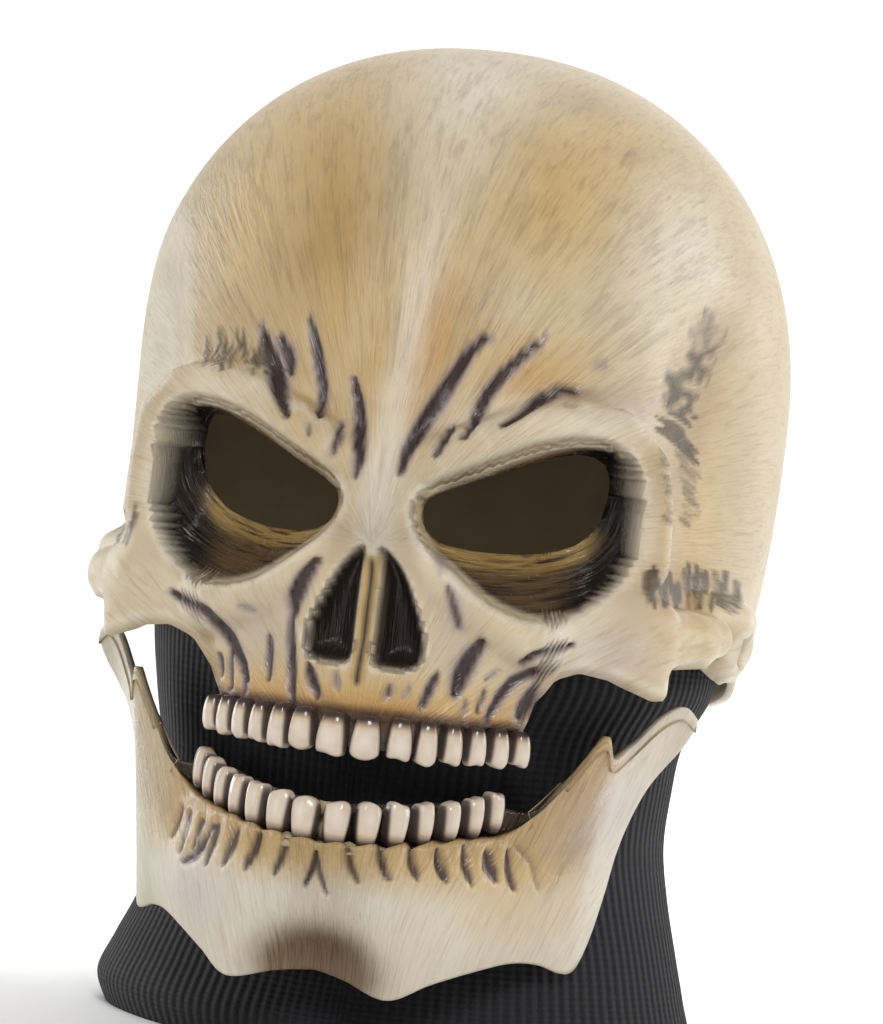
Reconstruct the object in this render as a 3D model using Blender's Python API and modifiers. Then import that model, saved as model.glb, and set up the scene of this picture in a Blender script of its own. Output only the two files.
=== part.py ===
"""Skull mask: a hollow latex skull with a separate jaw, 28 teeth and a knitted neck tube.

Lengths in the tables are millimetres in the skull's own frame: x to the viewer's right,
y to the back, z up, and z = 0 a little above the eyes. place() turns them into metres
with the origin at the inner crown, where the wearer's head touches.
"""
import bpy
import bmesh
import math
import numpy as np
from mathutils import Vector

MM = 0.001

# Skull shell
DOME_CENTRE = np.array([0.0, 10.0, 17.0])     # centre of the brain case, mm
DOME_RADII = np.array([87.5, 106.5, 93.2])    # half width, half depth, height above the centre
SIDE_DROP = 165.0                             # the sides below the centre taper this slowly
DOME_POWER = 2.2
SHELL_WALL = 2.6                              # latex thickness
CROWN_TUCK = 0.6                              # clearance of the head at the inner crown
SEAT_Z = DOME_CENTRE[2] + DOME_RADII[2] - SHELL_WALL - CROWN_TUCK

# Teeth and the jaw
TOOTH_DEPTH = 5.5
TOOTH_GAP = 0.45                              # clearance round each tooth
TOOTH_TAPER = 0.8                             # width at the root and depth at the tip, to the full ones
TOOTH_BEVEL = 1.1
GUM_LEDGE = 6.6                               # how far the gum steps back behind the teeth
UPPER_ARCH = (-105.5, 0.0135)                 # y at the middle, and curvature, of the tooth row
LOWER_ARCH = (-110.5, 0.0215)
UPPER_GUM_Z = -66.2
GUM_STEP = 0.8                                # height over which the upper gum steps back
JAW_WALL = 2.5
JAW_TILT = math.radians(1.5)                  # the jaw hangs a little crooked
JAW_SHIFT = -3.0
JAW_PIVOT_Z = -60.0
CHIN_HOLLOW = (13.0, -128.0, 9.0, 7.0)        # half width, middle z, half height, depth

# Neck tube
KNIT_WALL = 1.8
KNIT_SEGMENTS, KNIT_ROWS = 32, 11
KNIT_ROUNDNESS = 1.6                          # 2 would be an ellipse in plan, less is more pointed

# Grid of the skull: columns in degrees from the front, rows down the face and over the dome
FACE_COLUMNS, SIDE_COLUMNS, BACK_COLUMNS = 23, 6, 7
FACE_SPAN, SIDE_SPAN = 60, 90
FACE_ROWS, DOME_ROWS = 18, 7
RAY_START, RAY_STEPS, RAY_STRIDE = 150.0, 70, 0.8

# Lower edge of the skull: degrees round from the front, height
HEM = ((0, -75), (21, -75), (23.5, -72), (25, -61), (26.5, -53), (29, -50.6), (33, -51.6), (37, -54),
       (40, -55.8), (42, -55.4), (44, -50.5), (47, -47.5), (52, -46.5), (57, -46), (61, -46), (66, -49.5),
       (71, -51.5), (77, -51), (90, -51), (110, -57), (140, -64), (180, -66))

# Outline of the eye socket's rim, and of the hole in it: x, z
SOCKET = ((9.3, -13), (12.5, -9.2), (20, -5.3), (28.5, -1), (37, 3), (46, 5.6), (54, 5.6), (59, 1.5),
          (60.8, -7), (60.8, -18), (58, -28), (51, -35.5), (41, -38.6), (31, -36.3), (22, -30.5),
          (14.5, -24.5), (10, -18.5))
EYE_HOLE = ((10.8, -14), (11.8, -19.2), (15.5, -22), (22, -23.4), (32, -23.2), (40, -21.6), (46, -18.8),
            (50.3, -14), (52, -8), (52.2, -2), (50.5, 2.2), (45.5, 3.4), (37.5, 1), (29, -3), (20, -7.2),
            (13.5, -10.6))
NOSTRIL = ((1.9, -25.2), (5.5, -26.8), (9, -31), (11.8, -37), (14.2, -43), (15.6, -49), (14, -54),
           (8, -55.2), (2.6, -53.6), (2.2, -45), (2.1, -35))

# Front of the socket's rim and how far its floor sinks behind it: x, rim y, depth
SOCKET_FLOOR = ((9, -99, 12), (20, -97, 17), (35, -92, 21), (46, -87, 23), (56, -81, 22.5), (61, -76, 20))
SOCKET_FALL = (9.0, 4.5)                      # how gently the floor falls, at the cheek and at the brow
NOSE_FLOOR, NOSE_DEPTH, NOSE_FALL = -101.0, 13.0, 2.5

# Lumps added and hollows cut with round forms: name, add or cut, centre, half sizes, power (2 is an
# ellipsoid, more is squarer), blend. The first table shapes the case, the second comes after the rims.
CASE_FORMS = (("temple", "cut", (116, -58, 6), (53, 50, 62), 2.0, 12),
              ("under_cheek", "cut", (60, -96, -75), (40, 40, 26), 2.0, 6),
              ("face", "add", (0, -50, -52), (46, 49, 58), 2.3, 12),
              ("cheek", "add", (50, -72, -42), (19, 15, 15), 2.0, 10))
DETAIL_FORMS = (("ear_knob", "add", (80.5, -17, -40), (8, 9.5, 10.5), 2.0, 4),
                ("ear_hole", "cut", (88, -19, -42), (5.5, 3.4, 5.2), 2.0, 2),
                ("canine_hollow", "cut", (29, -104, -56), (9, 9, 16), 2.0, 8))

# Raised rim round the socket: x, y, z, radius
RIM_BLEND = 5
SOCKET_RIM = ((6, -97, -6, 6), (14, -98.5, -1.5, 5.2), (24, -97, 3.5, 5), (35, -92.5, 8.5, 5),
              (46, -87, 11, 5.2), (56, -81, 9.5, 5.5), (63, -76.5, 2, 5.2), (65, -74, -9, 5),
              (64.5, -73, -22, 6), (59, -76, -33, 7.5), (49, -82.5, -41.5, 7), (38, -88.5, -43.5, 6),
              (27, -93, -40, 5.5), (18, -96, -32, 5), (11, -98.5, -22, 5), (6, -97, -6, 6))

# Bars of bone blended into the face: name, start, end, radii at both, blend
BARS = (("brow", (0, -90, 10), (0, -92, -12), 11, 7.5, 8),
        ("nose_bridge", (0, -93, -10), (0, -97.5, -23), 6.5, 5.5, 6),
        ("cheek_tip", (62, -74, -40), (68.5, -68, -54.5), 9, 4.2, 6),
        ("cheek_side", (66, -70, -36), (66, -70, -50), 6, 5, 6),
        ("arch_front", (67, -68, -40), (75, -52, -40.5), 8, 7.2, 4),
        ("arch_back", (75, -52, -40.5), (79.5, -42, -39), 7.2, 5.6, 3),
        ("ear_bridge", (74, -38, -33), (84, -20, -34), 4, 4.5, 4),
        ("nose_spine", (0, -96, -58), (0, -92, -70), 5, 6, 8))

# Upper teeth from the middle outwards: centre x, width, root z, tip z
UPPER_TEETH = ((4.6, 7.9, -67.8, -77.2), (12.9, 6.7, -67.6, -76.6), (19.5, 5.9, -67.5, -77.2),
               (25.5, 5.5, -67.8, -76.5), (31.0, 5.4, -67.8, -76.3), (36.1, 5.7, -67.8, -76.2),
               (40.8, 5.4, -68.2, -75.6))

# Lower teeth from the middle outwards: centre x, width, tip z, root z
LOWER_TEETH = ((4.3, 7.0, -88.0, -97.6), (12.0, 6.6, -87.4, -97.0), (18.9, 6.1, -86.6, -96.2),
               (25.0, 5.6, -85.9, -95.2), (30.4, 5.5, -85.2, -94.2), (35.2, 5.6, -83.6, -92.8),
               (39.4, 5.9, -82.0, -91.2))

# Jaw sections from the chin back to its joint, each from the lower edge to the gum or upper edge:
# lower x, y, z, upper x, y, z, outward bulge, depth of the gum ledge, height of the wall behind the teeth
JAW_SECTIONS = (
    (0.0, -95.5, -131.5, 0.0, -110.0, -98.6, -1.0, 1.0, 10.0),
    (9.0, -95.5, -133.0, 8.6, -108.8, -98.4, 0.0, 1.0, 10.0),
    (20.5, -95.5, -135.8, 18.0, -103.6, -97.6, 3.0, 1.0, 10.0),
    (29.5, -87.0, -131.2, 26.5, -95.6, -96.2, 3.0, 1.0, 9.5),
    (38.0, -75.0, -127.6, 33.8, -86.0, -94.6, 3.0, 1.0, 9.0),
    (45.5, -63.0, -125.2, 40.6, -75.0, -92.8, 2.6, 1.0, 7.0),
    (51.0, -53.0, -125.6, 46.6, -71.0, -87.5, 2.0, 0.0, 1.6),
    (55.5, -45.0, -127.6, 53.6, -67.0, -78.6, 1.0, 0.0, 1.6),
    (58.4, -38.5, -127.0, 61.6, -63.0, -66.4, 0.0, 0.0, 1.6),
    (60.6, -34.0, -120.0, 63.6, -56.0, -72.0, -0.6, 0.0, 1.6),
    (62.6, -31.0, -108.0, 66.6, -48.0, -68.6, -0.6, 0.0, 1.6),
    (64.8, -29.0, -93.0, 72.6, -40.0, -60.4, 0.0, 0.0, 1.6),
    (69.4, -28.0, -79.0, 77.2, -34.5, -57.2, 0.5, 0.0, 1.6),
    (76.0, -28.0, -68.5, 80.4, -30.0, -60.0, 0.5, 0.0, 1.6))
JAW_COLUMNS, JAW_ROWS = 25, 6

# Neck tube from the top down: height, middle x, half width, y at its widest, front y, back y
KNIT_SECTIONS = ((-46, 0, 77, 5, -78, 78), (-57, 0, 76, 6, -81, 73), (-70, -2, 72, 8, -82, 67),
                 (-84, -2, 70, 12, -82, 62), (-98, -2, 69.5, 14, -79, 60), (-112, -1, 71, 15, -70, 60),
                 (-126, 0, 74, 13, -64, 62), (-138, 0, 78, 8, -68, 64), (-148, 0, 81, 4, -73, 67),
                 (-156, 0, 78, 4, -70, 65))

# Colours as red, green, blue, then roughness
BONE = (0.78, 0.68, 0.49, 0.42)
TOOTH = (0.80, 0.69, 0.56, 0.30)
KNIT = (0.012, 0.012, 0.018, 0.92)


def material(name, look):
    """A Principled material from a colour and a roughness."""
    made = bpy.data.materials.new(name)
    made.use_nodes = True
    shader = made.node_tree.nodes["Principled BSDF"]
    shader.inputs["Base Color"].default_value = (*look[:3], 1.0)
    shader.inputs["Roughness"].default_value = look[3]
    return made


def new_object(name, bm, collection, look_material):
    """Turn a bmesh in metres into an object of the collection."""
    mesh = bpy.data.meshes.new(name)
    bm.to_mesh(mesh)
    bm.free()
    made = bpy.data.objects.new(name, mesh)
    collection.objects.link(made)
    if look_material:
        mesh.materials.append(look_material)
    return made


def place(points):
    """Skull millimetres to metres from the inner crown."""
    return (np.asarray(points) - [0.0, DOME_CENTRE[1], SEAT_Z]) * MM


def smooth_min(a, b, k):
    """Union of two fields with a fillet of about k."""
    h = np.clip(0.5 + 0.5 * (b - a) / k, 0, 1)
    return b + (a - b) * h - k * h * (1 - h)


def smooth_max(a, b, k):
    """Intersection of two fields with a fillet of about k."""
    return -smooth_min(-a, -b, k)


def egg(p, centre, radii, power=2.0):
    """Distance to an ellipsoid, or to a squarer one with a power above 2."""
    q = np.abs(p - centre) / radii + 1e-9
    k = (q ** power).sum(axis=1) ** (1 / power)
    slope = q ** (power - 1) / radii * (k ** (1 - power))[:, None]
    return (k - 1) / (np.linalg.norm(slope, axis=1) + 1e-9)


def bar(p, start, end, r_start, r_end):
    """Distance to a round bar whose radius changes from end to end."""
    start = np.asarray(start, float)
    along = np.asarray(end, float) - start
    t = np.clip((p - start) @ along / (along @ along), 0, 1)
    return np.linalg.norm(p - start - t[:, None] * along, axis=1) - (r_start + t * (r_end - r_start))


def rounded(points, steps=3):
    """A closed outline through the points, as a smooth curve."""
    pts = np.asarray(points, float)
    before, after, beyond = np.roll(pts, 1, 0), np.roll(pts, -1, 0), np.roll(pts, -2, 0)
    rows = []
    for t in np.arange(steps) / steps:
        rows.append(0.5 * (2 * pts + (after - before) * t
                           + (2 * before - 5 * pts + 4 * after - beyond) * t ** 2
                           + (3 * pts - before - 3 * after + beyond) * t ** 3))
    return np.stack(rows, axis=1).reshape(-1, 2)


def outline_distance(x, z, outline):
    """Distance to a closed outline, negative inside it."""
    nearest = np.full(len(x), 1e9)
    inside = np.zeros(len(x), bool)
    for (ax, az), (bx, bz) in zip(outline, np.roll(outline, -1, 0)):
        ex, ez = bx - ax, bz - az
        t = np.clip(((x - ax) * ex + (z - az) * ez) / (ex * ex + ez * ez), 0, 1)
        nearest = np.minimum(nearest, (x - ax - ex * t) ** 2 + (z - az - ez * t) ** 2)
        if ez != 0:
            inside ^= ((az > z) != (bz > z)) & (x < ex * (z - az) / ez + ax)
    return np.where(inside, -1, 1) * np.sqrt(nearest)


def arch_depth(p, arch):
    """How far a point lies behind the front of a row of teeth."""
    middle, curvature = arch
    slope = 2 * curvature * p[:, 0]
    return (p[:, 1] - middle - curvature * p[:, 0] ** 2) / np.sqrt(1 + slope ** 2)


def add_forms(p, bone, forms):
    """Blend a table of round lumps and hollows into the field."""
    for _, kind, centre, half_sizes, power, blend in forms:
        form = egg(p, centre, half_sizes, power)
        bone = smooth_min(bone, form, blend) if kind == "add" else smooth_max(bone, -form, blend)
    return bone


def skull_field(p):
    """Distance to the outer surface of the skull, negative inside."""
    p = np.column_stack([np.abs(p[:, 0]), p[:, 1], p[:, 2]])
    below = p[:, 2] < DOME_CENTRE[2]
    radii = np.where(below[:, None], DOME_RADII * [1, 1, SIDE_DROP / DOME_RADII[2]], DOME_RADII)
    bone = add_forms(p, egg(p, DOME_CENTRE, radii, DOME_POWER), CASE_FORMS)
    rim = np.full(len(p), 1e9)
    for a, b in zip(SOCKET_RIM, SOCKET_RIM[1:]):
        rim = np.minimum(rim, bar(p, a[:3], b[:3], a[3], b[3]))
    bone = smooth_min(bone, rim, RIM_BLEND)
    for _, start, end, r_start, r_end, blend in BARS:
        bone = smooth_min(bone, bar(p, start, end, r_start, r_end), blend)
    return cut_face(p, add_forms(p, bone, DETAIL_FORMS))


def cut_face(p, bone):
    """Sink the eye sockets, the nose and the step behind the upper teeth. A cut is as deep as its
    outline or its floor allows, and the factors on the floors keep the field's slope near one."""
    x, y, z = p.T
    edge = outline_distance(x, z, rounded(SOCKET))
    under_brow = np.clip((z + 10) / 16, 0, 1)
    rim_x, rim_front, sink = np.transpose(SOCKET_FLOOR)
    fall = SOCKET_FALL[0] + (SOCKET_FALL[1] - SOCKET_FALL[0]) * under_brow
    floor = np.interp(x, rim_x, rim_front)
    floor += np.interp(x, rim_x, sink) * (1 - np.exp(np.minimum(edge, 0) / fall))
    bone = smooth_max(bone, -np.maximum(edge - 1.5 * under_brow, (y - floor) * 0.62), 2.2)
    edge = outline_distance(x, z, rounded(NOSTRIL))
    floor = NOSE_FLOOR + NOSE_DEPTH * (1 - np.exp(np.minimum(edge, 0) / NOSE_FALL))
    bone = smooth_max(bone, -np.maximum(edge, (y - floor) * 0.8), 1.2)
    step = np.clip((UPPER_GUM_Z - z) / GUM_STEP, 0, 1)
    behind = GUM_LEDGE - arch_depth(p, UPPER_ARCH)
    return np.maximum(bone, behind * step - 50 * (1 - step))


def ray(columns, levels):
    """Origin and direction of the rays that meet the skull: below the dome's centre they are
    level and start on its axis, above it they start at the centre and climb by degrees."""
    up = np.radians(np.clip(levels, 0, 90))
    turn = np.radians(columns)
    start = np.column_stack([0 * turn, 0 * turn + DOME_CENTRE[1], DOME_CENTRE[2] + np.minimum(levels, 0)])
    way = np.column_stack([np.sin(turn) * np.cos(up), -np.cos(turn) * np.cos(up), np.sin(up)])
    return start, way


def skull_points(columns, levels, inset):
    """Walk inwards along each ray to the surface that lies inset below the skull's."""
    start, way = ray(columns, levels)
    reach = np.full(len(start), RAY_START)
    for _ in range(RAY_STEPS):
        gap = skull_field(start + reach[:, None] * way) + inset
        reach = reach - np.clip(gap * RAY_STRIDE, -3, 20)
    return start + reach[:, None] * way


def grid_faces(bm, verts, guide=None, flip=False):
    """Triangles over a grid of vertices. Each cell is split along the shorter diagonal of the
    guide grid, which is the grid itself unless another is given."""
    guide = guide or verts
    for j in range(len(verts) - 1):
        for i in range(len(verts[j]) - 1):
            corners = ((j, i), (j + 1, i), (j + 1, i + 1), (j, i + 1))
            a, b, c, d = [verts[column][row] for column, row in corners]
            marks = [guide[column][row].co for column, row in corners]
            short = (marks[0] - marks[2]).length <= (marks[1] - marks[3]).length
            for corner in ((a, b, c), (a, c, d)) if short else ((a, b, d), (b, c, d)):
                if len(set(corner)) == 3:
                    bm.faces.new(corner[::-1] if flip else corner)


def shell_of_grids(outer, inner):
    """A wall between two half grids that share their lower edge, open at the mirror plane."""
    bm = bmesh.new()
    sheets = []
    for points in (outer, inner):
        crown = bm.verts.new(place(points[0, -1]))
        sheets.append([[bm.verts.new(place(p)) for p in column[:-1]] + [crown] for column in points])
    grid_faces(bm, sheets[0])
    grid_faces(bm, sheets[1], guide=sheets[0], flip=True)
    grid_faces(bm, [[inside[0], outside[0]] for outside, inside in zip(*sheets)])
    return bm


def eye_cutter(side, collection):
    """A prism through the socket, along y."""
    bm = bmesh.new()
    outline = rounded(EYE_HOLE, 2)
    ring = [bm.verts.new(place((side * x, -135.0, z))) for x, z in outline]
    face = bm.faces.new(ring)
    pushed = bmesh.ops.extrude_face_region(bm, geom=[face])
    moved = [v for v in pushed["geom"] if isinstance(v, bmesh.types.BMVert)]
    bmesh.ops.translate(bm, verts=moved, vec=Vector((0, 0.1, 0)))
    bmesh.ops.recalc_face_normals(bm, faces=bm.faces)
    cutter = new_object("eye_hole_cutter_" + ("right" if side > 0 else "left"), bm, collection, None)
    cutter.hide_render = True
    cutter.display_type = "WIRE"
    return cutter


def make_skull(parts, cutters, look):
    """The skull shell: one half on its grid, mirrored, with the eye holes cut."""
    columns = np.concatenate([np.linspace(0, FACE_SPAN, FACE_COLUMNS, endpoint=False),
                              np.linspace(FACE_SPAN, SIDE_SPAN, SIDE_COLUMNS, endpoint=False),
                              np.linspace(SIDE_SPAN, 180, BACK_COLUMNS + 1)])
    hem = np.interp(columns, *np.transpose(HEM)) - DOME_CENTRE[2]
    full_drop = DOME_CENTRE[2] - HEM[0][1]
    gum_rows = (DOME_CENTRE[2] - UPPER_GUM_Z + np.array([GUM_STEP, 0])) / full_drop
    rows = np.concatenate([[1.0], gum_rows[:1], np.linspace(gum_rows[1], 0, FACE_ROWS - 2, endpoint=False)])
    levels = np.hstack([hem[:, None] * rows, np.tile(np.linspace(0, 90, DOME_ROWS + 1), (len(columns), 1))])
    turns = np.repeat(columns[:, None], levels.shape[1], axis=1)
    sheets = []
    for inset in (0.0, SHELL_WALL):
        points = skull_points(turns.ravel(), levels.ravel(), inset).reshape(*levels.shape, 3)
        points[[0, -1], :, 0] = 0.0
        points[:, -1] = points[0, -1]
        sheets.append(points)
    skull = new_object("skull", shell_of_grids(*sheets), parts, look)
    mirror = skull.modifiers.new("both_sides", "MIRROR")
    mirror.merge_threshold = 0.00001
    for side in (1, -1):
        cut = skull.modifiers.new("eye_hole", "BOOLEAN")
        cut.operation = "DIFFERENCE"
        cut.solver = "EXACT"
        cut.object = eye_cutter(side, cutters)
    return skull


def tooth(name, centre, width, root_z, tip_z, arch, parts, look, pose=None):
    """A tapered block on the tooth row, facing outwards, its edges bevelled."""
    middle, curvature = arch
    turn = math.atan(2 * curvature * centre)
    bm = bmesh.new()
    bmesh.ops.create_cube(bm, size=1.0)
    for vert in bm.verts:
        at_root = vert.co.z * (1 if root_z > tip_z else -1) > 0
        vert.co.x *= (width - TOOTH_GAP) * (TOOTH_TAPER if at_root else 1.0)
        vert.co.y = (vert.co.y + 0.5) * TOOTH_DEPTH * (1.0 if at_root else TOOTH_TAPER)
        vert.co.z = vert.co.z * abs(root_z - tip_z) + (root_z + tip_z) / 2
        across, back = vert.co.x, vert.co.y
        vert.co.x = centre + across * math.cos(turn) - back * math.sin(turn)
        vert.co.y = middle + curvature * centre ** 2 + across * math.sin(turn) + back * math.cos(turn)
        vert.co = place(pose(np.array(vert.co)) if pose else vert.co)
    made = new_object(name, bm, parts, look)
    bevel = made.modifiers.new("soft_edges", "BEVEL")
    bevel.width = TOOTH_BEVEL * MM
    bevel.segments = 1
    bevel.limit_method = "NONE"
    return made


def jaw_pose(points):
    """Hang the jaw: turn it about its joint's height and shift it sideways."""
    x, y, z = np.moveaxis(np.asarray(points, float), -1, 0)
    z = z - JAW_PIVOT_Z
    turned_x = x * math.cos(JAW_TILT) + z * math.sin(JAW_TILT) + JAW_SHIFT
    turned_z = z * math.cos(JAW_TILT) - x * math.sin(JAW_TILT) + JAW_PIVOT_Z
    return np.stack([turned_x, y, turned_z], axis=-1)


def smooth_rows(table, count):
    """Read a table of sections at evenly spaced places on a smooth curve through them."""
    rows = np.asarray(table, float)
    at = np.linspace(0, len(rows) - 1, count)
    i = np.minimum(at.astype(int), len(rows) - 2)
    t = (at - i)[:, None]
    before, here, after = rows[np.maximum(i - 1, 0)], rows[i], rows[i + 1]
    beyond = rows[np.minimum(i + 2, len(rows) - 1)]
    return 0.5 * (2 * here + (after - before) * t + (2 * before - 5 * here + 4 * after - beyond) * t ** 2
                  + (3 * here - before - 3 * after + beyond) * t ** 3)


def jaw_surface():
    """Outer surface of the right half of the jaw: columns of points from the lower edge up."""
    sections = smooth_rows(JAW_SECTIONS, JAW_COLUMNS)
    low, high = sections[:, 0:3], sections[:, 3:6]
    middle = (low + high) / 2
    along = np.gradient(middle, axis=0)
    outward = np.cross(along, high - low)
    outward /= np.linalg.norm(outward, axis=1)[:, None]
    v = np.linspace(0, 1, JAW_ROWS + 1)[None, :, None]
    bulge = sections[:, 6][:, None, None] * 4 * v * (1 - v)
    wall = low[:, None] * (1 - v) + high[:, None] * v + outward[:, None] * bulge
    half_width, middle_z, half_height, sink = CHIN_HOLLOW
    chin = np.exp(-(wall[..., 0] / half_width) ** 2 - ((wall[..., 2] - middle_z) / half_height) ** 2)
    wall[..., 1] += sink * chin
    rim = np.gradient(high, axis=0)
    inward = np.column_stack([rim[:, 1] * -1, rim[:, 0], 0 * rim[:, 0]])
    inward /= np.linalg.norm(inward, axis=1)[:, None]
    ledge = high + inward * (GUM_LEDGE * sections[:, 7])[:, None]
    top = ledge + [0, 0, 1] * sections[:, 8][:, None]
    return np.concatenate([wall, ledge[:, None], top[:, None]], axis=1)


def make_jaw(parts, look):
    """The jaw shell: both halves on one grid, walled inwards."""
    half = jaw_surface()
    half[0, :, 0] = 0.0
    other = half[:0:-1] * [-1, 1, 1]
    points = jaw_pose(np.concatenate([other, half]))
    bm = bmesh.new()
    rows = [[bm.verts.new(place(p)) for p in column] for column in points]
    grid_faces(bm, rows)
    bmesh.ops.remove_doubles(bm, verts=bm.verts, dist=0.0002)
    jaw = new_object("jaw", bm, parts, look)
    wall = jaw.modifiers.new("wall", "SOLIDIFY")
    wall.thickness = JAW_WALL * MM
    wall.offset = -1
    return jaw


def make_knit(parts, look):
    """The knitted tube that holds the jaw: rings down the neck, walled inwards."""
    bm = bmesh.new()
    rings = []
    for z, middle, half_width, widest, front, back in smooth_rows(KNIT_SECTIONS, KNIT_ROWS):
        ring = []
        for turn in np.arange(KNIT_SEGMENTS) * math.tau / KNIT_SEGMENTS:
            ahead = math.cos(turn) > 0
            power = 2 / (KNIT_ROUNDNESS if ahead else 2)
            across = middle + half_width * math.copysign(abs(math.sin(turn)) ** power, math.sin(turn))
            along = (front - widest if ahead else back - widest) * abs(math.cos(turn)) ** power
            ring.append(bm.verts.new(place((across, widest + along, z))))
        rings.append(ring + ring[:1])
    grid_faces(bm, rings)
    knit = new_object("neck_knit", bm, parts, look)
    wall = knit.modifiers.new("wall", "SOLIDIFY")
    wall.thickness = KNIT_WALL * MM
    wall.offset = -1
    return knit


def make_teeth(parts, look):
    """Seven teeth a side above and below."""
    for row, table, arch, pose in (("upper", UPPER_TEETH, UPPER_ARCH, None),
                                   ("lower", LOWER_TEETH, LOWER_ARCH, jaw_pose)):
        for number, (x, width, first_z, second_z) in enumerate(table, start=1):
            root_z, tip_z = (first_z, second_z) if row == "upper" else (second_z, first_z)
            for side, sign in (("right", 1), ("left", -1)):
                name = f"{row}_tooth_{side}_{number}"
                tooth(name, sign * x, width, root_z, tip_z, arch, parts, look, pose)


def main():
    for old in list(bpy.data.objects):
        bpy.data.objects.remove(old)
    parts = bpy.data.collections.new("skull_mask")
    cutters = bpy.data.collections.new("cutters")
    for collection in (parts, cutters):
        bpy.context.scene.collection.children.link(collection)
    bone, enamel, knit = material("bone", BONE), material("tooth", TOOTH), material("knit", KNIT)
    make_skull(parts, cutters, bone)
    make_jaw(parts, bone)
    make_teeth(parts, enamel)
    make_knit(parts, knit)


main()
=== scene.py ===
"""The looks of the skull mask: painted latex shells, glossy teeth, rib knit and a plain studio.

Lengths in the tables are millimetres in the skull's own frame: x to the viewer's right, y to the
back, z up, z = 0 a little above the eyes. place() turns them into the frame's metres.
"""
import math
import bpy
import bmesh
import numpy as np
from mathutils import Matrix, Vector


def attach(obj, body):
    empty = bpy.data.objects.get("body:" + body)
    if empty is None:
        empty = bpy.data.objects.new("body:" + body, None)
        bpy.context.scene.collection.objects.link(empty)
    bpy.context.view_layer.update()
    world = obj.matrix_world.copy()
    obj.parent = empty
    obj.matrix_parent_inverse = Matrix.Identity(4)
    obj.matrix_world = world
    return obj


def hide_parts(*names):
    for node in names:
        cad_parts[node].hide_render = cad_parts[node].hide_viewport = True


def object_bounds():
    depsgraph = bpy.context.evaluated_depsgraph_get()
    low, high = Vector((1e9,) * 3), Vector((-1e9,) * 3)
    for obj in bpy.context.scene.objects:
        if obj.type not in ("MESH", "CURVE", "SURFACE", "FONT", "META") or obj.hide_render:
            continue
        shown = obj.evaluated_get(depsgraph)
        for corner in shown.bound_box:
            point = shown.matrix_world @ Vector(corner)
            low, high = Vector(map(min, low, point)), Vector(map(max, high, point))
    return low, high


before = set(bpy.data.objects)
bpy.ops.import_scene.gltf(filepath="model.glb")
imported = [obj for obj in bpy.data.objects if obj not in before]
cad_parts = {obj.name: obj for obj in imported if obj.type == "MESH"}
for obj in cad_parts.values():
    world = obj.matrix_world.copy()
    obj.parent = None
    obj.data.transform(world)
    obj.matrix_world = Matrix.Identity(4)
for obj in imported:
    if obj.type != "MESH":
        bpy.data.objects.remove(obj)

bl_info = {"name": "Skull mask", "version": (1, 0, 0), "blender": (4, 5, 0),
           "location": "3D View > Sidebar > Skull mask",
           "description": "Builds a painted latex skull mask on its solid frame",
           "category": "Object"}

MM = 0.001
CAD_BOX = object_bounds()

# Skull shell, as in the solid
DOME_CENTRE = np.array([0.0, 10.0, 17.0])
DOME_RADII = np.array([87.5, 106.5, 93.2])
SIDE_DROP = 165.0
DOME_POWER = 2.2
SHELL_WALL = 2.6
CROWN_TUCK = 0.6
SEAT_Z = DOME_CENTRE[2] + DOME_RADII[2] - SHELL_WALL - CROWN_TUCK
ORIGIN = np.array([0.0, DOME_CENTRE[1], SEAT_Z])

# Teeth and jaw, as in the solid
GUM_LEDGE = 6.6
TOOTH_DEPTH = 5.5
TOOTH_GAP = 0.35
UPPER_ARCH = (-105.5, 0.0135)
LOWER_ARCH = (-110.5, 0.0215)
UPPER_GUM_Z = -66.2
GUM_STEP = 0.8
JAW_TILT = math.radians(1.5)
JAW_SHIFT = -3.0
JAW_PIVOT_Z = -60.0

# Grid of the skull's surface: degrees between columns to the front, side and back, rows
FRONT_SPAN, SIDE_SPAN = 62.0, 100.0
FRONT_STEP, SIDE_STEP, BACK_STEP = 0.6, 1.6, 4.0
FACE_ROWS, DOME_ROWS = 96, 52

# Lower edge of the skull: degrees round from the front, height
HEM = ((0, -75), (21, -75), (23.5, -72), (25, -61), (26.5, -53), (29, -50.6), (33, -51.6), (37, -54),
       (40, -55.8), (42, -55.4), (44, -50.5), (47, -47.5), (52, -46.5), (57, -46), (61, -46), (66, -49.5),
       (71, -51.5), (77, -51), (90, -51), (110, -57), (140, -64), (180, -66))

# Outlines of the socket's rim, the hole in it and half the nose: x, z
SOCKET = ((9.3, -13), (12.5, -9.2), (20, -5.3), (28.5, -1), (37, 3), (46, 5.6), (54, 5.6), (59, 1.5),
          (60.8, -7), (60.8, -18), (58, -28), (51, -35.5), (41, -38.6), (31, -36.3), (22, -30.5),
          (14.5, -24.5), (10, -18.5))
EYE_HOLE = ((10.8, -14), (11.8, -19.2), (15.5, -22), (22, -23.4), (32, -23.2), (40, -21.6), (46, -18.8),
            (50.3, -14), (52, -8), (52.2, -2), (50.5, 2.2), (45.5, 3.4), (37.5, 1), (29, -3), (20, -7.2),
            (13.5, -10.6))
NOSTRIL = ((1.9, -25.2), (5.5, -26.8), (9, -31), (11.8, -37), (14.2, -43), (15.6, -49), (14, -54),
           (8, -55.2), (2.6, -53.6), (2.2, -45), (2.1, -35))

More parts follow.
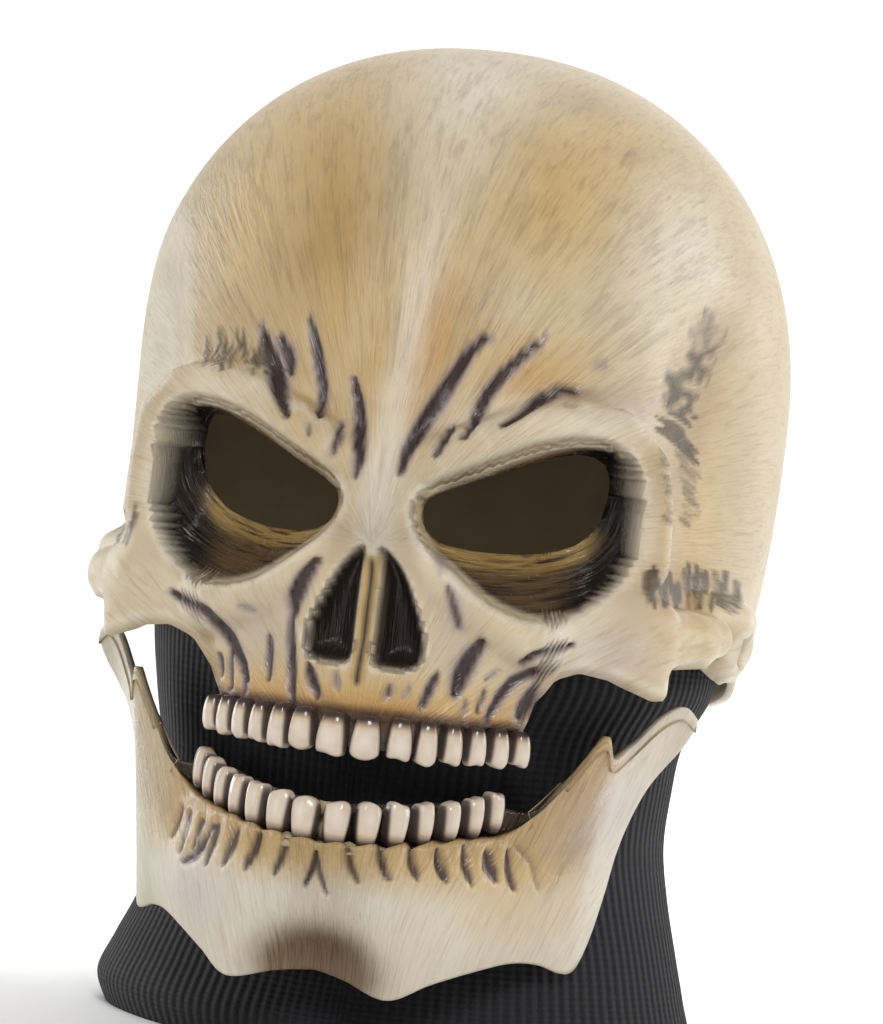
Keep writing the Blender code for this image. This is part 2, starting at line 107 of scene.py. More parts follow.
# Lumps added and hollows cut with round forms: add or cut, centre, half sizes, power, blend
CASE_FORMS = {"temple": ("cut", (116, -58, 6), (53, 50, 62), 2.0, 12),
              "under_cheek": ("cut", (60, -96, -75), (40, 40, 26), 2.0, 6),
              "face": ("add", (0, -50, -52), (46, 49, 58), 2.3, 12),
              "cheek": ("add", (50, -72, -42), (19, 15, 15), 2.0, 10)}
DETAIL_FORMS = {"ear_knob": ("add", (80.5, -17, -40), (8, 9.5, 10.5), 2.0, 4),
                "ear_hole": ("cut", (88, -19, -42), (5.5, 3.4, 5.2), 2.0, 2),
                "canine_hollow": ("cut", (29, -104, -56), (9, 9, 16), 2.0, 8)}

# Raised rim round the socket: x, y, z, radius
SOCKET_RIM = ((6, -97, -6, 6), (14, -98.5, -1.5, 5.2), (24, -97, 3.5, 5), (35, -92.5, 8.5, 5),
              (46, -87, 11, 5.2), (56, -81, 9.5, 5.5), (63, -76.5, 2, 5.2), (65, -74, -9, 5),
              (64.5, -73, -22, 6), (59, -76, -33, 7.5), (49, -82.5, -41.5, 7), (38, -88.5, -43.5, 6),
              (27, -93, -40, 5.5), (18, -96, -32, 5), (11, -98.5, -22, 5), (6, -97, -6, 6))

# Bars of bone blended into the face: start, end, radii at both, blend
BARS = {"brow": ((0, -90, 10), (0, -92, -12), 11, 7.5, 8),
        "nose_bridge": ((0, -93, -10), (0, -97.5, -23), 6.5, 5.5, 6),
        "cheek_tip": ((62, -74, -40), (68.5, -68, -54.5), 9, 4.2, 6),
        "cheek_side": ((66, -70, -36), (66, -70, -50), 6, 5, 6),
        "arch_front": ((67, -68, -40), (75, -52, -40.5), 8, 7.2, 4),
        "arch_back": ((75, -52, -40.5), (79.5, -42, -39), 7.2, 5.6, 3),
        "ear_bridge": ((74, -38, -33), (84, -20, -34), 4, 4.5, 4),
        "nose_spine": ((0, -96, -58), (0, -92, -70), 5, 6, 8)}

# How the face joins the brain case and is cut: where it ends, blends, socket floors as x and y or depth
FACE_TOP, FACE_BACK = 75, 10
SOCKET_SIDE, SOCKET_TOP, SOCKET_LOW, SOCKET_BACK = 66, 12, -45, -40
RIM_BLEND, SOCKET_BLEND, NOSE_BLEND = 5, 2.2, 1.2
SOCKET_FRONT = ((9, 20, 35, 46, 56, 61), (-99, -97, -92, -87, -81, -76))
SOCKET_DEPTH = ((9, 20, 35, 52, 61), (12, 17, 21, 24, 20))
NOSE_FRONT, NOSE_DEPTH, NOSE_ROUNDING = -101, 13, 2.5
GUM_REACH = 1.6

# The split in the nose's septum, and the height where the strokes of paint change their centre
SEPTUM_X, SPLIT_WIDTH, SPLIT_DEPTH = 0.4, 0.7, 0.8
FLOW_SPLIT = -30

# Creases of the skull's front: strength, width, then x and z of each point
SKULL_CREASES = (
    # Brow, left
    (1.0, 2.1, -37, 25.5, -34, 20, -31, 15, -28, 10, -25.5, 5),
    (0.8, 2.2, -31.5, 24, -28.5, 19.5, -27.5, 15.5),
    (1.0, 1.5, -24, 29, -21.5, 23, -20, 18, -18.5, 13, -17.5, 6), (0.7, 1.2, -12, 5, -11.2, 1, -12.5, -4),
    (1.0, 1.7, -10.5, 15.5, -8.5, 10, -7, 4, -5.5, -3, -6, -8), (0.5, 1.0, -19.5, 4, -19, 0),
    # Brow, right
    (1.0, 2.0, 21, 30, 17, 24.5, 14, 18, 11.5, 12, 8.5, 5.5, 6, 0, 5, -6),
    (0.8, 1.3, 15.5, 7, 14.5, 3, 13.5, -1.5),
    (0.9, 1.7, 35, 31, 30, 25.5, 26, 20.5, 23, 15.5, 21, 10, 19.5, 4.5),
    (0.9, 1.5, 44, 19, 39, 18, 35, 15.5, 31.5, 11.5, 28.5, 8.5), (0.35, 1.2, 50, 26, 46, 25),
    (0.3, 1.2, 45, 15.5, 42, 15), (0.4, 1.0, 24, 31, 20.5, 27),
    # Upper jaw, left
    (1.0, 2.1, -13.5, -30.5, -16.5, -35, -18.5, -40, -19, -44),
    (0.9, 1.4, -19.5, -45, -19, -51, -18, -57, -17.5, -62, -16.5, -66),
    (0.95, 1.8, -52, -42.5, -47, -44.5, -42, -46.5, -38, -50, -35, -54, -32, -58, -30.5, -62),
    (0.4, 1.2, -33, -44, -29, -44.5), (0.7, 1.2, -25, -50, -24.5, -55, -24, -61),
    (0.7, 1.0, -36, -55, -35.5, -60, -35, -65), (0.7, 1.0, -39, -56.5, -38.5, -62),
    (0.6, 1.2, -31, -61, -30.5, -65.5), (0.9, 1.5, -13.5, -56, -12, -60, -10, -63.5),
    (0.45, 1.5, -6, -57, -5, -61),
    # Upper jaw, right
    (0.3, 2.0, 15, -18, 16.5, -25, 18, -30), (0.6, 1.8, 20, -33, 21.5, -38, 23, -43),
    (0.9, 2.4, 28.5, -46, 26, -50, 24.5, -54, 23.5, -59), (0.4, 1.0, 33, -52, 30, -55),
    (0.9, 1.1, 51, -43.5, 46.5, -45.5, 42, -47.5, 38, -50.5),
    (0.8, 1.5, 46, -50.5, 41, -52, 36.5, -54.5, 34, -58.5, 31.5, -64.5),
    (0.9, 2.0, 42, -55.5, 40.5, -59, 38.5, -63.5), (0.6, 0.9, 30.5, -57, 29, -63),
    (0.8, 1.3, 19, -54.5, 17.5, -58.5, 16, -63.5), (0.6, 1.2, 8.5, -58.5, 7.5, -62),
    (0.4, 0.9, 13, -57.5, 11.5, -61.5), (0.5, 0.9, 26.5, -60, 25.5, -64.5))

# Soft clouds of paint on the skull, some of them painted highlight and shade: colour, strength, centre x, z,
# half width x, z, lean
# The pale clouds are painted highlights on the lit right forehead, the crown and the ridges; the sage clouds
# are painted shade on the left side; the lilac clouds are painted shade; the umber clouds along the right
# temple's edge are its dark brushwork with painted shade.
SKULL_CLOUDS = (
    ("ochre", 0.9, -20, 45, 12, 42, -0.12), ("ochre", 0.55, -46, 50, 26, 36), ("ochre", 0.5, -30, 78, 22, 20),
    ("ochre", 0.75, 33, 66, 19, 24, 0.1), ("ochre", 0.65, 10, 30, 9, 26, 0.1),
    ("ochre", 0.7, 35, 24, 18, 9, 0.25), ("ochre", 0.5, 42, 84, 22, 12), ("ochre", 0.5, -26, 14, 4, 14, -0.3),
    ("ochre", 0.6, -5, 22, 4, 24), ("ochre", 0.55, 72, -12, 9, 34), ("ochre", 0.35, 75, 25, 12, 20),
    ("umber", 0.42, -22, 50, 13, 30), ("umber", 0.34, 16, 38, 9, 18, 0.3), ("umber", 0.2, -45, 25, 16, 14),
    ("umber", 0.30, -62, 40, 10, 34), ("umber", 0.25, 30, 95, 10, 6), ("umber", 0.3, 47, 82, 5, 3),
    ("umber", 0.25, -8, 60, 4, 30), ("pale", 0.8, 2.5, 20, 4.0, 34, 0.05), ("pale", 0.7, 62, 52, 13, 30),
    ("pale", 0.55, 4, 92, 16, 22), ("pale", 0.7, 0, -14, 5, 16), ("pale", 0.6, 45, 11, 20, 4.5, 0.15),
    ("pale", 0.5, -45, 11, 20, 4.0, -0.15), ("pale", 0.5, 55, -44, 14, 10), ("pale", 0.4, 66, -20, 3, 22),
    ("lilac_shading", 0.35, 56, 18, 9, 5), ("lilac_shading", 0.4, 62, -43, 9, 8), ("lilac_shading", 0.4, -27, -50, 9, 12),
    ("lilac_shading", 0.35, 22, -42, 5, 14), ("ochre", 0.65, 78, -2, 9, 34), ("umber", 0.55, 69, 12, 4.5, 24, 0.15),
    ("umber", 0.6, 72, -27, 10, 7), ("umber", 0.35, 74, 40, 7, 16, 0.4), ("sage_shading", 0.6, -78, 20, 14, 60),
    ("sage_shading", 0.35, -66, 30, 6, 26), ("ochre", 0.85, 0, -62, 60, 6.5), ("orange", 0.8, 4, -66, 60, 3.2),
    ("orange", 0.35, 8, 24, 5, 16, 0.1), ("orange", 0.3, 31, 20, 8, 6, 0.2))

# Upper teeth from the middle outwards: centre x, width, root z, tip z
UPPER_TEETH = ((4.6, 7.9, -66.4, -77.2), (12.9, 6.7, -66.2, -76.6), (19.5, 5.9, -66.1, -77.2),
               (25.5, 5.5, -66.4, -76.5), (31.0, 5.4, -66.4, -76.3), (36.1, 5.7, -66.4, -76.2),
               (40.8, 5.4, -66.8, -75.6))

# Lower teeth from the middle outwards: centre x, width, tip z, root z
LOWER_TEETH = ((4.3, 7.0, -88.0, -99.0), (12.0, 6.6, -87.4, -98.6), (18.9, 6.1, -86.6, -97.8),
               (25.0, 5.6, -85.9, -96.6), (30.4, 5.5, -85.2, -95.4), (35.2, 5.6, -83.6, -94.0),
               (39.4, 5.9, -82.0, -92.4))

# Jaw sections, as in the solid: lower x, y, z, upper x, y, z, bulge, ledge, wall behind the teeth
JAW_SECTIONS = (
    (0.0, -95.5, -131.5, 0.0, -110.0, -98.6, -1.0, 1.0, 10.0),
    (9.0, -95.5, -133.0, 8.6, -108.8, -98.4, 0.0, 1.0, 10.0),
    (20.5, -95.5, -135.8, 18.0, -103.6, -97.6, 3.0, 1.0, 10.0),
    (29.5, -87.0, -131.2, 26.5, -95.6, -96.2, 3.0, 1.0, 9.5),
    (38.0, -75.0, -127.6, 33.8, -86.0, -94.6, 3.0, 1.0, 9.0),
    (45.5, -63.0, -125.2, 40.6, -75.0, -92.8, 2.6, 1.0, 7.0),
    (51.0, -53.0, -125.6, 46.6, -71.0, -87.5, 2.0, 0.0, 1.6),
    (55.5, -45.0, -127.6, 53.6, -67.0, -78.6, 1.0, 0.0, 1.6),
    (58.4, -38.5, -127.0, 61.6, -63.0, -66.4, 0.0, 0.0, 1.6),
    (60.6, -34.0, -120.0, 63.6, -56.0, -72.0, -0.6, 0.0, 1.6),
    (62.6, -31.0, -108.0, 66.6, -48.0, -68.6, -0.6, 0.0, 1.6),
    (64.8, -29.0, -93.0, 72.6, -40.0, -60.4, 0.0, 0.0, 1.6),
    (69.4, -28.0, -79.0, 77.2, -34.5, -57.2, 0.5, 0.0, 1.6),
    (76.0, -28.0, -68.5, 80.4, -30.0, -60.0, 0.5, 0.0, 1.6))
JAW_COLUMNS, JAW_ROWS = 150, 52

# Neck tube, as in the solid: height, middle x, half width, y at its widest, front y, back y
KNIT_SECTIONS = ((-46, 0, 77, 5, -78, 78), (-57, 0, 76, 6, -81, 73), (-70, -2, 72, 8, -82, 67),
                 (-84, -2, 70, 12, -82, 62), (-98, -2, 69.5, 14, -79, 60), (-112, -1, 71, 15, -70, 60),
                 (-126, 0, 74, 13, -64, 62), (-138, 0, 78, 8, -68, 64), (-148, 0, 81, 4, -73, 67),
                 (-156, 0, 78, 4, -70, 65))
KNIT_ROUNDNESS = 1.6
KNIT_SEGMENTS, KNIT_ROWS = 300, 110

# Seeds of the random strokes and teeth, and counts of steps
HAIR_SEED, FURROW_SEED, TOOTH_SEED = 7, 11, 3
START_REACH, MARCH_STEPS, MARCH_END = 130.0, 60, 0.01
TRIM_ROUNDS = 6
TOOTH_CUTS, TOOTH_SQUARENESS = 9, 5.0

# Knit in metres: height of the tube and of a stitch
KNIT_LENGTH, STITCH_PITCH = 0.112, 0.0017

# The photograph's view
VIEW_YAW, VIEW_ROLL = math.radians(9.5), math.radians(6.6)
VIEW_DISTANCE = 1.2
VIEW_OFFSET = (0.0025, 0.0145)
FOCAL_PIXELS, PHOTO_HEIGHT = 4464.0, 1024.0

# Studio, in metres and watts: lights with place, size and power, lowered to the mask's middle
LIGHTS = (("key_light", (0.30, -1.25, 0.65), 0.40, 8.5), ("fill_light", (-0.95, -0.95, 0.05), 0.7, 2.2),
          ("rim_left", (-0.9, 0.35, 0.15), 0.5, 3.2), ("rim_right", (0.9, 0.4, 0.2), 0.5, 3.0))
LIGHT_DROP = Vector((0, 0, -0.12))
WORLD_LIGHT, WORLD_SEEN = 0.28, 0.72
FLOOR_FRONT, FLOOR_BACK, FLOOR_SIDE = -3.0, 1.6, 4.0
BEND_RADIUS, BEND_STEPS, WALL_TOP = 0.8, 8, 4.0


def tint(name, description, default):
    return bpy.props.FloatVectorProperty(name=name, description=description, size=3, subtype="COLOR",
                                         default=default, min=0, max=1)


def length(name, description, default, low, high):
    return bpy.props.FloatProperty(name=name, description=description, default=default, unit="LENGTH",
                                   min=low, max=high)


class SkullMaskSettings(bpy.types.PropertyGroup):
    """Sizes and colours of the finish."""
    bone: tint("Bone", "Ground colour of the latex", (0.67, 0.565, 0.38))
    ochre: tint("Ochre", "Airbrushed yellow clouds", (0.65, 0.435, 0.155))
    orange: tint("Orange", "Airbrush along the gums", (0.62, 0.29, 0.07))
    # Umber: brown airbrush, also painted shade in the hollows, where the teeth meet the gums, in the chin's
    # hollow and along the right temple's edge.
    umber: tint("Umber", "Brown airbrush shade", (0.30, 0.19, 0.09))
    # Pale bone: painted highlights on the ridges, the crown and the lit right forehead, and the jaw's ground
    # colour.
    pale: tint("Pale bone", "Highlights on ridges", (0.86, 0.79, 0.655))
    # Lilac: painted shade, a cool grey round the creases and on the cheeks and jaw.
    lilac_shading: tint("Lilac", "Cool grey wash round the creases", (0.42, 0.35, 0.35))
    # Sage: painted shade on the left side of the skull and jaw, the side away from the key light.
    sage_shading: tint("Sage", "Greenish shade of the sides", (0.42, 0.41, 0.29))
    olive: tint("Olive", "Dark brushwork of the temples", (0.075, 0.055, 0.022))
    # Stain: dark colour of the creases and of the teeth's outlines, and painted shade and dirt where the
    # teeth meet the gums.
    stain_and_shade: tint("Stain", "Dark colour in the creases", (0.050, 0.030, 0.030))
    # Soot: near black of the nose and sockets, also painted shade in the sockets' outer corners.
    soot: tint("Soot", "Darkest colour of sockets and nose", (0.014, 0.010, 0.008))
    enamel: tint("Enamel", "Colour of the teeth", (0.70, 0.59, 0.46))
    knit: tint("Knit", "Colour of the neck tube", (0.006, 0.006, 0.009))
    crease_depth: length("Crease depth", "Depth of a full crease", 0.0016, 0, 0.004)
    latex_wall: length("Latex wall", "Thickness of the shells", 0.0020, 0.001, 0.003)
    knit_wall: length("Knit thickness", "Thickness of the knit", 0.0012, 0.001, 0.003)
    rib_pitch: length("Rib pitch", "Distance between knitted ribs", 0.0026, 0.001, 0.006)


def settings():
    return bpy.context.scene.skull_mask


def colour(name):
    return np.array(getattr(settings(), name))


def place(points):
    """Skull millimetres to the frame's metres."""
    return (np.asarray(points) - ORIGIN) * MM


def smooth_min(a, b, k):
    h = np.clip(0.5 + 0.5 * (b - a) / k, 0, 1)
    return b + (a - b) * h - k * h * (1 - h)


def smooth_max(a, b, k):
    return -smooth_min(-a, -b, k)


def ramp(x, low, high):
    """Smooth step from 0 at low to 1 at high."""
    t = np.clip((x - low) / (high - low), 0, 1)
    return t * t * (3 - 2 * t)


def egg(p, centre, radii, power=2.0):
    """Distance to an ellipsoid, or to a squarer one with a power above 2."""
    q = np.abs(p - centre) / radii + 1e-9
    k = (q ** power).sum(axis=1) ** (1 / power)
    slope = q ** (power - 1) / radii * (k ** (1 - power))[:, None]
    return (k - 1) / (np.linalg.norm(slope, axis=1) + 1e-9)


def bar(p, start, end, r_start, r_end):
    """Distance to a round bar whose radius changes from end to end."""
    start = np.asarray(start, float)
    along = np.asarray(end, float) - start
    t = np.clip((p - start) @ along / (along @ along), 0, 1)
    return np.linalg.norm(p - start - t[:, None] * along, axis=1) - (r_start + t * (r_end - r_start))


def curve_through(before, here, after, beyond, t):
    """The smooth curve from here to after, at t from 0 to 1."""
    return 0.5 * (2 * here + (after - before) * t + (2 * before - 5 * here + 4 * after - beyond) * t ** 2
                  + (3 * here - before - 3 * after + beyond) * t ** 3)


def rounded(points, steps=3):
    """A closed outline through the points, as a smooth curve."""
    pts = np.asarray(points, float)
    before, after, beyond = np.roll(pts, 1, 0), np.roll(pts, -1, 0), np.roll(pts, -2, 0)
    rows = [curve_through(before, pts, after, beyond, t) for t in np.arange(steps) / steps]
    return np.stack(rows, axis=1).reshape(-1, 2)


def outline_distance(x, z, outline):
    """Distance to a closed outline, negative inside it."""
    nearest = np.full(len(x), 1e9)
    inside = np.zeros(len(x), bool)
    for (ax, az), (bx, bz) in zip(outline, np.roll(outline, -1, 0)):
        ex, ez = bx - ax, bz - az
        t = np.clip(((x - ax) * ex + (z - az) * ez) / (ex * ex + ez * ez), 0, 1)
        nearest = np.minimum(nearest, (x - ax - ex * t) ** 2 + (z - az - ez * t) ** 2)
        if ez != 0:
            inside ^= ((az > z) != (bz > z)) & (x < ex * (z - az) / ez + ax)
    return np.where(inside, -1, 1) * np.sqrt(nearest)


def arch_depth(p, arch):
    """How far a point lies behind the front of a row of teeth."""
    middle, curvature = arch
    slope = 2 * curvature * p[:, 0]
    return (p[:, 1] - middle - curvature * p[:, 0] ** 2) / np.sqrt(1 + slope ** 2)


def skull_field(p):
    """Distance to the outer surface of the skull, negative inside."""
    p = np.column_stack([np.abs(p[:, 0]), p[:, 1], p[:, 2]])
    below = p[:, 2] < DOME_CENTRE[2]
    radii = np.where(below[:, None], DOME_RADII * [1, 1, SIDE_DROP / DOME_RADII[2]], DOME_RADII)
    bone = egg(p, DOME_CENTRE, radii, DOME_POWER)
    near = (p[:, 2] < FACE_TOP) & (p[:, 1] < FACE_BACK)
    bone[near] = face_field(p[near], bone[near])
    return bone


def add_forms(p, bone, forms):
    for kind, centre, half_sizes, power, blend in forms.values():
        form = egg(p, centre, half_sizes, power)
        bone = smooth_min(bone, form, blend) if kind == "add" else smooth_max(bone, -form, blend)
    return bone


def face_field(p, bone):
    """Blend the face's bones into the brain case, then cut sockets, nose and the gum's step."""
    bone = add_forms(p, bone, CASE_FORMS)
    rim = np.full(len(p), 1e9)
    for a, b in zip(SOCKET_RIM, SOCKET_RIM[1:]):
        rim = np.minimum(rim, bar(p, a[:3], b[:3], a[3], b[3]))
    bone = smooth_min(bone, rim, RIM_BLEND)
    for start, end, r_start, r_end, blend in BARS.values():
        bone = smooth_min(bone, bar(p, start, end, r_start, r_end), blend)
    bone = add_forms(p, bone, DETAIL_FORMS)
    front = (p[:, 0] < SOCKET_SIDE) & (p[:, 2] < SOCKET_TOP) & (p[:, 1] < SOCKET_BACK)
    bone[front] = cut_face(p[front], bone[front])
    return bone


def cut_face(p, bone):
    """Sink the eye sockets, the nose and the step behind the upper teeth."""
    x, y, z = p.T
    edge = outline_distance(x, z, rounded(SOCKET))
    under_brow = np.clip((z + 10) / 16, 0, 1)
    sunk = 1 - np.exp(-np.clip(-edge, 0, 30) / (9 - 4.5 * under_brow))
    floor = np.interp(x, *SOCKET_FRONT) + np.interp(x, *SOCKET_DEPTH) * sunk
    bone = smooth_max(bone, -np.maximum(edge - 1.5 * under_brow, (y - floor) * 0.62), SOCKET_BLEND)
    edge = outline_distance(x, z, rounded(NOSTRIL))
    floor = NOSE_FRONT + NOSE_DEPTH * (1 - np.exp(-np.clip(-edge, 0, 30) / NOSE_ROUNDING))
    bone = smooth_max(bone, -np.maximum(edge, (y - floor) * 0.8), NOSE_BLEND)
    step = np.clip((UPPER_GUM_Z - gum_scallop(x, UPPER_TEETH) - z) / GUM_STEP, 0, 1)
    behind = GUM_LEDGE - arch_depth(p, UPPER_ARCH)
    return np.maximum(bone, behind * step - 50 * (1 - step))


def gum_scallop(x, teeth):
    """How far the gum reaches over the roots: most between two teeth."""
    reach = np.zeros(len(x))
    for centre, width, *_ in teeth:
        reach = np.maximum(reach, np.clip(1 - (np.abs(np.abs(x) - centre) / (width * 0.52)) ** 2, 0, 1))
    return GUM_REACH * (1 - np.sqrt(reach))


def ray(columns, levels):
    """Origin and direction of the rays that meet the skull: level below the dome's centre, and
    climbing by degrees above it."""
    up = np.radians(np.clip(levels, 0, 90))
    turn = np.radians(columns)
    start = np.column_stack([0 * turn, 0 * turn + DOME_CENTRE[1], DOME_CENTRE[2] + np.minimum(levels, 0)])
    way = np.column_stack([np.sin(turn) * np.cos(up), -np.cos(turn) * np.cos(up), np.sin(up)])
    return start, way


def skull_points(columns, levels):
    """Walk inwards along each ray to the skull's surface."""
    start, way = ray(columns, levels)
    reach = np.full(len(start), START_REACH)
    live = np.ones(len(start), bool)
    for _ in range(MARCH_STEPS):
        gap = skull_field(start[live] + reach[live][:, None] * way[live])
        reach[live] -= np.clip(gap * 0.8, -3, 20)
        live[live] = np.abs(gap) > MARCH_END
        if not live.any():
            break
    return start + reach[:, None] * way


def grid_normals(points, wrap):
    """Outward unit normals of a grid of points, columns first."""
    if wrap:
        across = np.roll(points, -1, 0) - np.roll(points, 1, 0)
    else:
        across = np.gradient(points, axis=0)
    upward = np.gradient(points, axis=1)
    normals = np.cross(across, upward)
    return normals / (np.linalg.norm(normals, axis=2, keepdims=True) + 1e-12)


def cavity(points, normals, wrap):
    """How hollow the surface is at each point: its neighbours' mean height above it, in mm."""
    mean = np.zeros_like(points)
    for shift, axis in ((1, 0), (-1, 0), (1, 1), (-1, 1)):
        moved = np.roll(points, shift, axis)
        edge = [slice(None)] * 3
        edge[axis] = 0 if shift == 1 else -1
        if not (wrap and axis == 0):
            moved[tuple(edge)] = points[tuple(edge)]
        mean += moved / 4
    return ((mean - points) * normals).sum(axis=2)


def stroke_field(x, z, table):
    """Strength of a table of strokes at each point, fading to their sides and ends."""
    total = np.zeros(len(x))
    for strength, width, *points in table:
        pts = np.reshape(points, (-1, 2)).astype(float)
        low, high = pts.min(axis=0) - 3 * width, pts.max(axis=0) + 3 * width
        near = (x > low[0]) & (x < high[0]) & (z > low[1]) & (z < high[1])
        if not near.any():
            continue
        px, pz = x[near], z[near]
        lengths = np.linalg.norm(np.diff(pts, axis=0), axis=1)
        run = np.concatenate([[0], np.cumsum(lengths)]) / lengths.sum()
        best, where = np.full(len(px), 1e9), np.zeros(len(px))
        for i, ((ax, az), (bx, bz)) in enumerate(zip(pts, pts[1:])):
            ex, ez = bx - ax, bz - az
            t = np.clip(((px - ax) * ex + (pz - az) * ez) / (ex * ex + ez * ez), 0, 1)
            gap = np.hypot(px - ax - ex * t, pz - az - ez * t)
            closer = gap < best
            best[closer] = gap[closer]
            where[closer] = (run[i] + t * (run[i + 1] - run[i]))[closer]
        taper = 0.45 + 0.55 * np.sin(np.pi * np.clip(where, 0.02, 0.98)) ** 0.6
        total[near] = np.maximum(total[near], strength * np.exp(-(best / (width * taper)) ** 2))
    return total


def cloud(x, z, centre_x, centre_z, half_x, half_z, lean=0.0):
    """A soft oval patch, leaning sideways by lean per millimetre of height."""
    dx = (x - centre_x - lean * (z - centre_z)) / half_x
    dz = (z - centre_z) / half_z
    return np.exp(-(dx * dx + dz * dz))


def mix(base, top, amount):
    amount = np.clip(amount, 0, 1)[:, None]
    return base * (1 - amount) + top * amount


def add_object(name, data):
    made = bpy.data.objects.new(name, data)
    bpy.context.scene.collection.objects.link(made)
    return made


def mesh_object(name, points, faces, materials, attributes):
    """A smooth mesh from points in skull millimetres, with its point attributes."""
    mesh = bpy.data.meshes.new(name)
    mesh.from_pydata(place(points).tolist(), [], faces.tolist())
    mesh.shade_smooth()
    kinds = {"paint": ("FLOAT_COLOR", "color"), "flow": ("FLOAT_VECTOR", "vector")}
    for label, values in attributes.items():
        kind, field = kinds.get(label, ("FLOAT", "value"))
        if label == "paint":
            values = np.column_stack([values, np.ones(len(values))])
        layer = mesh.attributes.new(label, kind, "POINT")
        layer.data.foreach_set(field, values.astype(np.float32).ravel())
    for entry in materials:
        mesh.materials.append(entry)
    return add_object(name, mesh)


def sheet_object(name, points, wrap, materials, attributes, keep=None, close_top=False):
    """A piece from a grid of points, cut where keep is below zero."""
    columns, rows = points.shape[:2]
    index = np.arange(columns * rows).reshape(columns, rows)
    if close_top:
        index[:, -1] = index[0, -1]
    following = np.roll(index, -1, 0) if wrap else index[1:]
    here = index if wrap else index[:-1]
    a, b, c, d = here[:, :-1], following[:, :-1], following[:, 1:], here[:, 1:]
    flat = points.reshape(-1, 3)
    short = np.linalg.norm(flat[a] - flat[c], axis=-1) <= np.linalg.norm(flat[b] - flat[d], axis=-1)
    first = np.stack([a, b, np.where(short, c, d)], -1).reshape(-1, 3)
    second = np.stack([np.where(short, a, b), c, d], -1).reshape(-1, 3)
    faces = np.concatenate([first, second])
    proper = (faces[:, 0] != faces[:, 1]) & (faces[:, 1] != faces[:, 2]) & (faces[:, 0] != faces[:, 2])
    faces = faces[proper]
    if keep is not None:
        flat, faces = trim(flat, faces, keep.reshape(-1))
    used = np.unique(faces)
    renumber = np.zeros(len(flat), int)
    renumber[used] = np.arange(len(used))
    attributes = {label: values.reshape(len(flat), -1)[used] for label, values in attributes.items()}
    return mesh_object(name, flat[used], renumber[faces], materials, attributes)


def trim(points, faces, side):
    """Cut the mesh along side = 0: slide the nearest vertices onto the line, then drop what is
    below it."""
    points, side = points.copy(), side.copy()
    edges = np.concatenate([faces[:, [0, 1]], faces[:, [1, 2]], faces[:, [0, 2]]])
    edges = np.unique(np.sort(edges, axis=1), axis=0)
    for _ in range(TRIM_ROUNDS):
        a, b = edges.T
        crossing = side[a] * side[b] < 0
        if not crossing.any():
            break
        a, b = a[crossing], b[crossing]
        swap = np.abs(side[b]) < np.abs(side[a])
        near, far = np.where(swap, b, a), np.where(swap, a, b)
        order = np.argsort(-np.abs(side[near]))
        near, far = near[order], far[order]
        t = (side[near] / (side[near] - side[far]))[:, None]
        points[near] = points[near] + (points[far] - points[near]) * t
        side[near] = 0.0
    return points, faces[side[faces].sum(axis=1) > 0]


def node(tree, kind, inputs=(), **values):
    """Add a shader node, set its properties, and fill inputs from sockets or values."""
    made = tree.nodes.new(kind)
    for key, value in values.items():
        setattr(made, key, value)
    for key, value in dict(inputs).items():
        socket = made.inputs[key]
        if isinstance(value, bpy.types.NodeSocket):
            tree.links.new(value, socket)
        else:
            socket.default_value = value
    return made


def maths(tree, operation, a, b=0.5):
    return node(tree, "ShaderNodeMath", {0: a, 1: b}, operation=operation).outputs[0]


def times(tree, a, b):
    return maths(tree, "MULTIPLY", a, b)


def plus(tree, a, b):
    return maths(tree, "ADD", a, b)


def attribute(tree, name, output="Fac"):
    return node(tree, "ShaderNodeAttribute", attribute_name=name).outputs[output]


def noise(tree, where, scale, detail, **more):
    inputs = {"Vector": where, "Scale": scale, "Detail": detail, **more}
    return node(tree, "ShaderNodeTexNoise", inputs).outputs["Fac"]


def stretched(tree, vector, factors):
    return node(tree, "ShaderNodeVectorMath", {0: vector, 1: factors}, operation="MULTIPLY").outputs[0]


def blend_colour(tree, amount, a, b, mode="MIX"):
    made = node(tree, "ShaderNodeMix", {"Factor": amount}, data_type="RGBA", blend_type=mode)
    for slot, value in (("A", a), ("B", b)):
        socket = [s for s in made.inputs if s.name == slot and s.type == "RGBA"][0]
        if isinstance(value, bpy.types.NodeSocket):
            tree.links.new(value, socket)
        else:
            socket.default_value = (*value, 1.0)
    return [s for s in made.outputs if s.type == "RGBA"][0]


def spread(tree, value, low, high, new_low=0.0, new_high=1.0):
    return node(tree, "ShaderNodeMapRange", {"Value": value, "From Min": low, "From Max": high,
                                             "To Min": new_low, "To Max": new_high}).outputs[0]


def new_material(name, roughness=0.5):
    made = bpy.data.materials.new(name)
    made.use_nodes = True
    shader = made.node_tree.nodes["Principled BSDF"]
    shader.inputs["Roughness"].default_value = roughness
    return made, made.node_tree, shader


def dress(tree, shader, tone, height, strength, distance):
    """Give a material its colour and its bumps."""
    tree.links.new(tone, shader.inputs["Base Color"])
    bump = node(tree, "ShaderNodeBump", {"Height": height, "Strength": strength, "Distance": distance})
    tree.links.new(bump.outputs[0], shader.inputs["Normal"])


